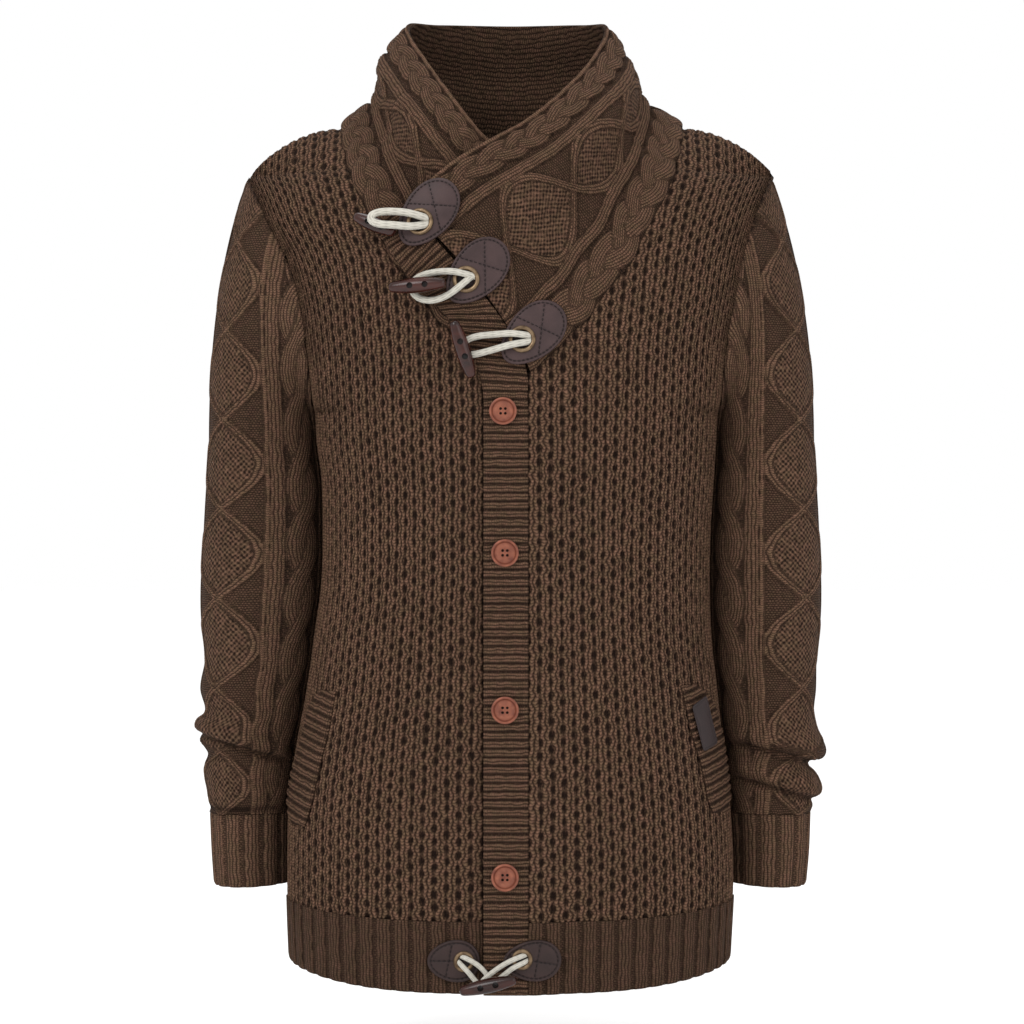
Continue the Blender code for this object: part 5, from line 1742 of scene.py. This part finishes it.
@dataclass(frozen=True)
class Surface:
    """A gently curved surface, its depth a quadratic of the place."""

    middle: Array
    weights: Array

    @staticmethod
    def terms(spots: Array, middle: Array) -> Array:
        """The quadratic's terms at each spot."""
        u, v = (spots - middle)[..., 0] / 30.0, (spots - middle)[..., 1] / 30.0
        return np.stack([np.ones_like(u), u, v, u * u, u * v, v * v], axis=-1)

    def depth(self, x: Array, z: Array) -> Array:
        """Depth at each place."""
        return self.terms(np.stack([x, z], axis=-1), self.middle) @ self.weights

    def normal(self, x: float, z: float) -> Array:
        """The way the surface faces.

        Args:
            x: place across.
            z: height.

        Returns:
            The forward normal.
        """
        spots = np.array([[x + 1, z], [x - 1, z], [x, z + 1], [x, z - 1]])
        right, left, up, down = self.depth(spots[:, 0], spots[:, 1])
        normal = np.array([(right - left) / 2, -1.0, (up - down) / 2])
        return normal / np.linalg.norm(normal)


def turned(name: str, profile: Sequence[tuple], segments: int, base: Array, axis: Array,
           ring: bool = False) -> Piece:
    """Turn a profile about an axis.

    Args:
        name: the piece's name.
        profile: (distance along, radius, shade) rows, the shade left out where it is 0.
        segments: how many sides.
        base: where the axis starts.
        axis: the way it points.
        ring: whether the profile's ends join, so that the piece has no caps.

    Returns:
        The object.
    """
    axis = np.asarray(axis, float) / np.linalg.norm(axis)
    side = np.cross(axis, (0.0, 0.0, 1.0) if abs(axis[2]) < 0.9 else (1.0, 0.0, 0.0))
    side /= np.linalg.norm(side)
    turns, rows = circle(segments), len(profile)
    spokes = np.cos(turns)[:, None] * side + np.sin(turns)[:, None] * np.cross(axis, side)
    points = np.concatenate([base + axis * row[0] + row[1] * spokes for row in profile])
    caps = [] if ring else end_caps(segments, (rows - 1) * segments)
    shades = np.repeat([row[2] if len(row) > 2 else 0.0 for row in profile], segments)
    uv = np.stack([np.tile(turns / (2 * math.pi), rows), np.repeat([row[0] for row in profile], segments)], 1)
    return write_mesh(name, points, [grid_quads(rows, segments, ring=ring)], caps, uv, {"hollow": shades})


def drilled(piece: Piece, middle: Array, offsets: Array, radius: float, length: float) -> None:
    """Drill round holes into a piece from the front, as deep as their length, their walls given full painted
    shade.

    Args:
        piece: the piece.
        middle: the place the holes lie round.
        offsets: each hole's place from there.
        radius: of the holes.
        length: how long they are.
    """
    axis, cutters = np.array([0.0, 1.0, 0.0]), []
    for offset in offsets:
        start = middle + offset - axis * length / 2
        # the cutters carry full painted shade, which darkens the hole walls they leave
        cutters.append(turned("drill", [(0.0, radius, 1.0), (length, radius, 1.0)], 20, start, axis))
        cut = piece.modifiers.new("hole", "BOOLEAN")
        cut.operation, cut.object = "DIFFERENCE", cutters[-1]
    done = bpy.data.meshes.new_from_object(piece.evaluated_get(bpy.context.evaluated_depsgraph_get()))
    piece.modifiers.clear()
    piece.data = done
    for cutter in cutters:
        bpy.data.objects.remove(cutter)
    piece.data.shade_smooth()
    piece.data.set_sharp_from_angle(angle=math.radians(35))


def tube(name: str, path: Array, diameter: float, sides: int = 14) -> Piece:
    """A round tube with closed ends along a path.

    Args:
        name: the piece's name.
        path: its middle line.
        diameter: across it.
        sides: how many.

    Returns:
        The object.
    """
    ways = np.gradient(path, axis=0)
    ways /= np.linalg.norm(ways, axis=1, keepdims=True)
    side = np.cross(ways[0], (0.0, 1.0, 0.3))
    turns, rings = circle(sides), []
    for spot, way in zip(path, ways):
        side = side - way * (side @ way)
        side /= np.linalg.norm(side)
        rings.append(spot + diameter / 2 * (np.cos(turns)[:, None] * side
            + np.sin(turns)[:, None] * np.cross(way, side)))
    rows = len(path)
    along = run_of(path) / (2.4 * diameter)
    uv = np.stack([np.tile(turns / (2 * math.pi), rows), np.repeat(along, sides)], axis=1)
    return write_mesh(name, np.concatenate(rings), [grid_quads(rows, sides)],
        end_caps(sides, (rows - 1) * sides), uv, {"hollow": np.zeros(rows * sides)})


def thread(name: str, stitches: Sequence[tuple[Array, Array, Array]], length: float, radius: float) -> Piece:
    """Sewn stitches, each a short rounded bar.

    Args:
        name: the piece's name.
        stitches: middle, direction and forward normal of each.
        length: of one stitch.
        radius: of the thread.

    Returns:
        The object, all stitches in one.
    """
    sides, rings = 6, ((-0.5, 0.3), (-0.34, 1.0), (0.34, 1.0), (0.5, 0.3))
    points, quads, caps = [], [], []
    for middle, way, normal in stitches:
        first, across = len(points), np.cross(way, normal)
        for share, width in rings:
            sink = 0.0 if width == 1.0 else -0.5 * radius
            points += [middle + way * length * share + normal * sink
                       + radius * width * (math.cos(turn) * across + math.sin(turn) * normal)
                       for turn in circle(sides)]
        quads.append(first + grid_quads(len(rings), sides))
        caps += [tuple(first + k for k in cap) for cap in end_caps(sides, (len(rings) - 1) * sides)]
    count = len(points)
    return write_mesh(name, np.array(points), quads, caps, np.zeros((count, 2)), {"hollow": np.zeros(count)})


@dataclass
class LeatherPiece:
    """A flat leather piece on the cloth, with a rounded edge, stitch lines and perhaps a hole."""

    name: str
    outline: Array  # dense, round the middle
    middle: Spot
    thickness: float = 2.0
    hole: float = 0.0
    border: float = 2.8  # distance from the edge to the sewn or pressed line
    line_spot: Spot = (0.0, 0.0)
    line_ways: tuple = ()  # directions of the lines that cross, in degrees
    sewn: bool = True
    keep_off: float = 0.0  # no crossing stitches this near the middle
    spokes: int = 120
    rings: int = 22
    lift: float = 0.6
    edge_round: float = 1.1
    stitch_length: float = 2.5
    stitch_pitch: float = 3.5
    surface: Surface = field(init=False)

    def reach(self, turns: Array) -> Array:
        """Distance from the middle to the outline.

        Args:
            turns: directions to look in.

        Returns:
            The distance in each direction.
        """
        away = self.outline - np.array(self.middle)
        angles = np.unwrap(np.arctan2(away[:, 1], away[:, 0]))
        if angles[-1] < angles[0]:
            angles, away = angles[::-1], away[::-1]
        turns = angles[0] + np.mod(turns - angles[0], 2 * math.pi)
        far = np.linalg.norm(away, axis=1)
        return np.interp(turns, np.append(angles, angles[0] + 2 * math.pi), np.append(far, far[0]))

    def line_distance(self, x: Array, z: Array) -> Array:
        """Distance to the nearest line that crosses the piece."""
        return np.minimum.reduce([np.full(np.shape(x), 99.0)] + [
            np.abs((z - self.line_spot[1]) * math.cos(way) - (x - self.line_spot[0]) * math.sin(way))
            for way in np.radians(self.line_ways)])

    def build(self, cover: Cover, finish: Finish, slot: str) -> list[Piece]:
        """The piece and its thread.

        Args:
            cover: the cloth behind.
            finish: the leather.
            slot: its material slot.

        Returns:
            The pieces made.
        """
        self.surface = cover.fitted(self.outline, self.lift)
        turns = circle(self.spokes)
        far = self.reach(turns)
        inner = self.hole + 0.6 if self.hole else 0.5
        fixed = [0.5, 0.6 * self.hole, self.hole - 0.4, self.hole + 0.1, inner] if self.hole else [inner]
        spread = 1 - (1 - np.linspace(0, 1, self.rings + 1)[1:]) ** 1.6
        r = np.array([width + 0 * far for width in fixed] + [inner + (far - inner) * t for t in spread])
        x, z = self.middle[0] + r * np.cos(turns), self.middle[1] + r * np.sin(turns)
        edge = np.clip((far - r) / self.edge_round, 0, 1)
        lines = np.minimum(np.abs(far - r - self.border), self.line_distance(x, z))
        sunk = ease((self.hole + 0.2 - r) / 0.8) if self.hole else np.zeros_like(r)
        rise = (self.thickness * (0.45 + 0.55 * np.sqrt(1 - (1 - edge) ** 2)) - 0.5 * dip(lines, 0.7)
                + 0.25 * (1 - dip(lines, 4.5)) * edge - (self.thickness - 0.3) * sunk)
        # painted shade in the eyelet's sunk hole and the sewn or pressed grooves, and darker towards the cut
        # edge
        hollow = np.clip(sunk + 0.55 * dip(lines, 0.6) + 0.35 * dip(far - r, 0.5), 0, 1)
        back = self.surface.depth(x, z)
        faces = ((x, x), (back - rise, back), (z, z))
        points = np.stack([np.concatenate([front, rear[[-1, 0]]]) for front, rear in faces], axis=-1)
        points = points.reshape(-1, 3)
        hollow = np.append(hollow, np.zeros(2 * self.spokes))
        rows = len(r) + 2
        piece = write_mesh(self.name, points, [grid_quads(rows, self.spokes)],
            end_caps(self.spokes, (rows - 1) * self.spokes), np.zeros((len(points), 2)), {"hollow": hollow})
        return [dress(piece, finish, slot, self.name)] + ([self.sew()] if self.sewn else [])

    def front(self, x: float, z: float) -> Array:
        """A place on the leather's face."""
        return np.array([x, float(self.surface.depth(np.array(x), np.array(z))) - self.thickness, z])

    def seams(self) -> list[Array]:
        """The lines that are sewn: the border, then the crossing lines.

        Returns:
            Points along each.
        """
        turns = np.linspace(0, 2 * math.pi, 400)
        ring = np.stack([np.cos(turns), np.sin(turns)], axis=1)
        lines = [np.array(self.middle) + (self.reach(turns) - self.border)[:, None] * ring]
        for way in np.radians(self.line_ways):
            way = (math.cos(way), math.sin(way))
            line = np.array(self.line_spot) + np.linspace(-45, 45, 300)[:, None] * way
            away = line - np.array(self.middle)
            r = np.linalg.norm(away, axis=1)
            edge = self.reach(np.arctan2(away[:, 1], away[:, 0])) - self.border - 0.5
            inside = (r < edge) & (r > self.keep_off)
            runs = np.split(line[inside], np.nonzero(np.diff(np.nonzero(inside)[0]) > 1)[0] + 1)
            lines += [run for run in runs if len(run) > 10]
        return lines

    def sew(self) -> Piece:
        """Thread along every sewn line.

        Returns:
            The stitches.
        """
        stitches = []
        for line in self.seams():
            run = run_of(line)
            count = max(1, int(run[-1] / self.stitch_pitch))
            marks = (np.arange(count) + 0.5) * run[-1] / count
            for here, ahead in zip(points_along(line, run, marks), points_along(line, run, marks + 0.5)):
                way = self.front(*ahead) - self.front(*here)
                if np.linalg.norm(way) >= 0.1:
                    normal = self.surface.normal(*here)
                    stitches.append((self.front(*here) + 0.12 * normal, way / np.linalg.norm(way), normal))
        sewn = thread(self.name + "_thread", stitches, self.stitch_length, 0.36)
        return dress(sewn, STITCH_THREAD, "patch")


@dataclass(frozen=True)
class Fastening:
    """One leather patch with its eyelet and its cord."""

    place: str
    patch: Spot
    angle: float  # of its length, in degrees
    length: float
    width: float
    eyelet: Spot
    radius: float  # of the eyelet
    line_away: float  # from the patch's middle to where the sewn lines cross
    line_angles: Spot
    cord: float  # its diameter
    route: tuple  # from one strand in the eyelet round the toggle and back

    def outline(self) -> Array:
        """The oval patch, a little narrower at its low end.

        Returns:
            Points round it.
        """
        lean, turns = math.radians(self.angle), circle(360)
        along = self.length / 2 * np.cos(turns)
        across = self.width / 2 * np.sin(turns) * (1 + 0.14 * np.cos(turns))
        return np.array(self.patch) + np.stack([along * math.cos(lean) - across * math.sin(lean),
            along * math.sin(lean) + across * math.cos(lean)], axis=1)

    def leather(self, wire: float) -> LeatherPiece:
        """The patch with the eyelet's hole.

        Args:
            wire: how thick the eyelet's rim is.

        Returns:
            The leather piece.
        """
        toward = np.array(self.patch) - self.eyelet
        axis = math.degrees(math.atan2(toward[1], toward[0]))
        spot = self.patch + self.line_away * toward / np.linalg.norm(toward)
        return LeatherPiece("patch_" + self.place, self.outline(), self.eyelet, hole=self.radius - 2 * wire,
            line_spot=tuple(spot), line_ways=tuple(axis + turn for turn in self.line_angles),
            keep_off=self.radius + 1.5)


@dataclass
class Fastenings:
    """Patches, eyelets, cord loops and toggles."""

    wire: float = 1.75
    rows: tuple = (
        Fastening("top", (-68.2, -90.4), 52, 63, 41, (-74.6, -98), 11, 8, (54, -54), 6.2, (
            (-72, -94.4), (-79, -92.2), (-95, -90), (-110, -91), (-117, -95.6), (-110, -100.4),
            (-95, -101.4), (-82, -102.6), (-76.6, -101.6))),
        Fastening("middle", (-28.3, -138.3), 48, 63, 41, (-37.2, -145), 11, 8, (54, -54), 5.5, (
            (-34.6, -141.6), (-42, -139.4), (-58, -138.8), (-74, -142), (-82, -149.5), (-78, -159),
            (-64, -162.4), (-50, -157), (-39.4, -148.4))),
        Fastening("low", (17, -188.6), 44, 63, 41, (8.1, -193.6), 11, 8, (54, -54), 5.5, (
            (10.2, -190.2), (2, -189), (-14, -190), (-30, -191.6), (-41, -197.6), (-36, -206.4),
            (-18, -203), (-4, -199), (5.6, -197))),
        Fastening("hem_right", (-47.3, -696.9), 2, 43, 34, (-38.8, -697), 8.5, 4, (0, 80), 4.2, (
            (-37.2, -694), (-30, -697), (-22, -704), (-18.6, -711), (-23, -716.4), (-29.4, -712),
            (-35, -705), (-40.4, -700))),
        Fastening("hem_left", (16.6, -695.5), 2, 47, 33, (8.1, -694), 8.5, 4, (0, 90), 4.2, (
            (9.6, -690.8), (2, -693), (-9, -699), (-22, -709), (-26, -714.6), (-19, -715), (-8, -707.4),
            (0, -700.6), (7, -697.4))))
    # Eyelet rim: along the axis in wires, inwards in wires, shade.
    rim: tuple = (
        (0, 0, 0.6), (0.5, 0, 0.5), (0.9, 0.25, 0.2), (1.1, 0.9, 0), (1, 1.5, 0), (0.55, 2, 0.3),
        (-0.8, 2.1, 0.8), (-0.8, 1.5, 0.8), (-0.2, 1.3, 0.8))
    # Toggles from end to end: the top one lies under its cord, the others over theirs.
    toggles: tuple = (
        ("toggle_top", (-128, -92.5), (-95, -107), 6.2),
        ("toggle_middle", (-99.5, -151.9), (-53.5, -148.7), 6.4),
        ("toggle_low", (-47, -179.5), (-32.4, -225), 6.2), ("toggle_hem", (-42, -718.5), (3.4, -708), 6))
    hole_radius: float = 2.5
    hole_spacing: float = 12.5
    cord_clear: float = 0.3
    cord_smoothing: int = 8

    def ring(self, row: Fastening, leather: LeatherPiece) -> Piece:
        """A metal eyelet on its patch.

        Args:
            row: its place and size.
            leather: the patch.

        Returns:
            The piece.
        """
        normal, wire = leather.surface.normal(*row.eyelet), self.wire
        base = leather.front(*row.eyelet) + 0.1 * normal
        profile = [(along * wire, row.radius - inward * wire, dark) for along, inward, dark in self.rim]
        name = "eyelet_" + row.place
        return dress(turned(name, profile, 56, base, normal, ring=True), EYELET_BRASS, "eyelet", name)

    @staticmethod
    def spindle(t: Array) -> Array:
        """A toggle's radius along it, as a share of its largest: tapered, with blunt ends."""
        away = np.abs(2 * t - 1)
        return (1 - 0.42 * away ** 1.8) * np.clip(1.0002 - away ** 24, 0, 1) ** 0.35

    def toggle(self, name: str, first: Spot, last: Spot, radius: float, cover: Cover) -> Piece:
        """A spindle toggle with two blind holes, whose dark floors are painted shade in place of holes that
        go through.

        Args:
            name: the piece's name.
            first: where it starts.
            last: where it ends.
            radius: the largest.
            cover: what lies behind it.

        Returns:
            The piece.
        """
        (x0, z0), (x1, z1) = first, last
        marks = np.linspace(0, 1, 13)
        depth = np.array([cover.forward(x0 + t * (x1 - x0), z0 + t * (z1 - z0), radius * self.spindle(t))
            for t in marks])
        slope = (depth[-1] - depth[0]) * 0.5
        base = float((depth - slope * (marks - 0.5)).min()) - radius
        start, end = np.array([x0, base - slope / 2, z0]), np.array([x1, base + slope / 2, z1])
        length = float(np.linalg.norm(end - start))
        shares = 0.5 - 0.5 * np.cos(np.linspace(0, math.pi, 36))
        piece = turned(name, [(length * t, radius * self.spindle(t)) for t in shares], 40, start, end - start)
        points = np.array([corner.co / MM for corner in piece.data.vertices])
        shift = np.array([0.0, cover.seat(points[::3]), 0.0])
        piece.data.transform(Matrix.Translation(Vector(shift * MM)))
        # the holes stop short of the back; their floors, painted in full shade, stand in for the shade inside
        # through-holes
        middle = (start + end) / 2 + shift - np.array([0.0, 0.7 * radius, 0.0])
        offsets = (end - start) / length * np.array([[-0.5], [0.5]]) * self.hole_spacing
        drilled(piece, middle, offsets, self.hole_radius, 2.5 * radius)
        return dress(piece, TOGGLE_WOOD, "toggle", name)

    def over_cloth(self, row: Fastening, cover: Cover, window: int = 3) -> Array:
        """A cord's route, lifted over what lies behind it.

        Args:
            row: its route and diameter.
            cover: what lies behind it.
            window: how far to either side the lift is evened out.

        Returns:
            Points along it.
        """
        radius, size = row.cord / 2, 2 * window + 1
        flat = smooth_path([(x, 0.0, z) for x, z in row.route], radius)
        depth = np.array([cover.forward(x, z, radius) for x, _, z in flat]) - radius - self.cord_clear
        padded = np.pad(depth, window, mode="edge")
        held = np.array([padded[k:k + size].min() for k in range(len(depth))])
        for _ in range(2):
            held = np.convolve(np.pad(held, window, mode="edge"), np.ones(size) / size, mode="valid")
        flat[:, 1] = held + min(0.0, float((depth - held).min()))
        return flat

    def loop(self, row: Fastening, leather: LeatherPiece, cover: Cover) -> Piece:
        """A cord loop, over what lies behind it and down into its eyelet at both ends.

        Args:
            row: its route and diameter.
            leather: the patch.
            cover: what lies behind it.

        Returns:
            The piece.
        """
        flat, centre, ends = self.over_cloth(row, cover), np.array(leather.middle), []
        over = flat[np.linalg.norm(flat[:, [0, 2]] - centre, axis=1) > leather.hole * 1.05]
        for k in (0, -1):
            spot, rim = np.array(row.route[k]), over[k, [0, 2]]
            way = (spot - rim) / np.linalg.norm(spot - rim)
            aim = spot - centre
            reach = -aim @ way + math.sqrt(max(0.0, (aim @ way) ** 2 - aim @ aim + (leather.hole + 1.0) ** 2))
            far = spot + way * reach
            drops = (((far + rim) / 2, -0.35), (far, 0.4))
            ends.append([leather.front(*place) + (0.0, sink * row.cord, 0.0) for place, sink in drops])
        middle = over[np.linspace(0, len(over) - 1, len(over) // 2).round().astype(int)]
        path = smooth_path([ends[0][1], ends[0][0], *middle, *ends[1]], 0.35 * row.cord)
        for _ in range(self.cord_smoothing):
            path[1:-1] = 0.5 * path[1:-1] + 0.25 * (path[:-2] + path[2:])
        name = "cord_" + row.place
        piece = dress(tube(name, path, row.cord), LOOP_CORD, "cord", name)
        float(run_of(path)[-1]) * MM
        return piece

    def build(self, cloth: list[Piece]) -> None:
        """Everything in the order it lies on the cloth.

        Args:
            cloth: the pieces it lies on.
        """
        cover, under, leathers = Cover(cloth), list(cloth), []
        for row in self.rows:
            leathers.append(row.leather(self.wire))
            finish = HEM_LEATHER if "hem" in row.place else PATCH_LEATHER
            under += leathers[-1].build(cover, finish, "patch")[:1] + [self.ring(row, leathers[-1])]
        under.append(self.toggle(*self.toggles[0], Cover(under)))
        for row, leather in zip(self.rows, leathers):
            under.append(self.loop(row, leather, Cover(under)))
        for toggle in self.toggles[1:]:
            under.append(self.toggle(*toggle, Cover(under)))


@dataclass
class Buttons:
    """Four-hole buttons with a raised rim, sewn to the band."""

    spots: tuple = ((-7.3, -251.5), (-5.7, -366.3), (-5.7, -493.3), (-5.7, -628.3))
    radius: float = 11.2
    thick: float = 3.4
    hole_radius: float = 1.15
    hole_offset: float = 2.7
    # From the back: share of the thickness, share of the radius, shade.
    shape: tuple = (
        (0, 0.78, 0.9), (0.12, 0.88, 0.8), (0.45, 0.985, 0.5), (0.7, 1, 0.3), (0.9, 0.98, 0.1),
        (1, 0.93, 0), (1, 0.87, 0), (0.85, 0.82, 0.5), (0.55, 0.78, 0.9), (0.55, 0.7, 0.2), (0.6, 0.55, 0),
        (0.5, 0.36, 0.25), (0.5, 0.2, 0.3))

    def button(self, name: str, x: float, z: float, cover: Cover) -> None:
        """One button and the thread behind it.

        Args:
            name: the button's name.
            x: its middle, across.
            z: its height.
            cover: the band.
        """
        depth = min(cover.y(x + a, z + b) for a in (-8, 0, 8) for b in (-8, -4, 0, 4, 8))
        base, forward = np.array([x, depth - 0.2, z]), np.array([0.0, -1.0, 0.0])
        profile = [(along * self.thick, share * self.radius, dark) for along, share, dark in self.shape]
        button = turned(name, profile, 72, base, forward)
        turns = math.pi / 4 + circle(4)
        offsets = self.hole_offset * np.stack([np.cos(turns), np.zeros(4), np.sin(turns)], axis=1)
        drilled(button, base + forward * self.thick / 2, offsets, self.hole_radius, 3 * self.thick)
        dress(button, BUTTON_HORN, "button", name)
        shank = turned(name + "_thread", [(0.0, 4.4), (1.4, 4.4)], 24, base - 1.3 * forward, forward)
        dress(shank, STITCH_THREAD, "button")

    def build(self, band: Piece) -> None:
        """All four.

        Args:
            band: what they lie on.
        """
        for number, (x, z) in enumerate(self.spots, start=1):
            self.button(f"button_{number}", x, z, Cover([band]))


@dataclass
class WeltTab:
    """A blank leather tab with rounded corners on the wearer's left welt."""

    corners: tuple = ((148.0, -493.0), (161.0, -484.5), (171.2, -525.2), (158.0, -531.0))
    rounding: float = 2.6

    def outline(self) -> Array:
        """The four corners, each rounded by a short curve.

        Returns:
            Points round the tab.
        """
        corners, dense = np.array(self.corners), []
        for before, here, after in zip(np.roll(corners, 1, axis=0), corners, np.roll(corners, -1, axis=0)):
            a, b = (here + self.rounding * (end - here) / np.linalg.norm(end - here)
                    for end in (before, after))
            dense += [(1 - t) ** 2 * a + 2 * t * (1 - t) * here + t ** 2 * b for t in np.linspace(0, 1, 8)]
        line = np.array(dense + dense[:1])
        run = run_of(line)
        return points_along(line, run, np.linspace(0, run[-1], 240, endpoint=False))

    def build(self, cloth: list[Piece]) -> None:
        """The tab.

        Args:
            cloth: the pieces it lies on.
        """
        outline = self.outline()
        tab = LeatherPiece("welt_tab", outline, tuple(outline.mean(axis=0)), 1.6, border=2.0, sewn=False)
        tab.build(Cover(cloth), TAB_LEATHER, "tab")


# ---- stage

@dataclass
class Studio:
    """A pale floor, soft lamps and the camera at the photograph's angle."""

    camera_distance: float = 2.5
    camera_z: float = -0.3332
    view_width: float = 0.8704
    floor_z: float = -0.80
    floor_size: float = 30.0
    # Name, place, size and power of each lamp.
    lamps: tuple = (
        ("key", (-1.6, -2.4, 1.6), 1.6, 48), ("fill", (2, -2.2, 0.6), 2, 16),
        ("top", (0, 0.6, 2.4), 1.5, 20))

    def lamp(self, name: str, place: tuple[float, float, float], size: float, power: float) -> None:
        """One square lamp that faces the middle of the cardigan.

        Args:
            name: the lamp's name.
            place: where it stands.
            size: its side.
            power: in watts.
        """
        light = bpy.data.lights.new(name, "AREA")
        light.size, light.energy = size, power
        made = bpy.data.objects.new(name, light)
        made.location = place
        aim = Vector((0.0, 0.0, self.camera_z)) - Vector(place)
        made.rotation_euler = aim.to_track_quat("-Z", "Y").to_euler()
        bpy.context.scene.collection.objects.link(made)

    def build(self) -> None:
        """Set up the studio."""
        scene = bpy.context.scene
        scene.world = bpy.data.worlds.new("studio")
        scene.world.use_nodes = True
        sky = scene.world.node_tree.nodes["Background"]
        sky.inputs[0].default_value = (1.0, 1.0, 1.0, 1.0)
        sky.inputs[1].default_value = 1.0
        for row in self.lamps:
            self.lamp(*row)
        camera = bpy.data.cameras.new("camera")
        camera.angle = 2 * math.atan(self.view_width / 2 / self.camera_distance)
        view = bpy.data.objects.new("camera", camera)
        view.location = (0.0, -self.camera_distance, self.camera_z)
        view.rotation_euler = (math.pi / 2, 0.0, 0.0)
        scene.collection.objects.link(view)
        scene.camera = view
        bpy.ops.mesh.primitive_plane_add(size=self.floor_size, location=(0.0, 0.0, self.floor_z))
        floor = bpy.context.object
        floor.name = "floor"
        nodes = Nodes("pale_floor")
        nodes.set(Base_Color=(0.9, 0.9, 0.9, 1.0), Roughness=0.9, Emission_Color=(1.0, 1.0, 1.0, 1.0),
                  Emission_Strength=0.12)
        floor.data.materials.append(nodes.material)
        scene.view_settings.view_transform = "Standard"


def main() -> None:
    """Build the studio and every piece in order."""
    Studio().build()
    log.info("studio")
    fronts = BodyPanels().build()[:2]
    hems = HemRib().build()[:2]
    Sleeves().build()
    collar = Collar().build()
    band, _ = FrontBands().build()
    welts = PocketWelts().build()
    log.info("knitted pieces done")
    Buttons().build(band)
    WeltTab().build(fronts + welts)
    Fastenings().build(fronts + hems + [collar, band])
    log.info("fastenings done")


if __name__ == "__main__":
    main()
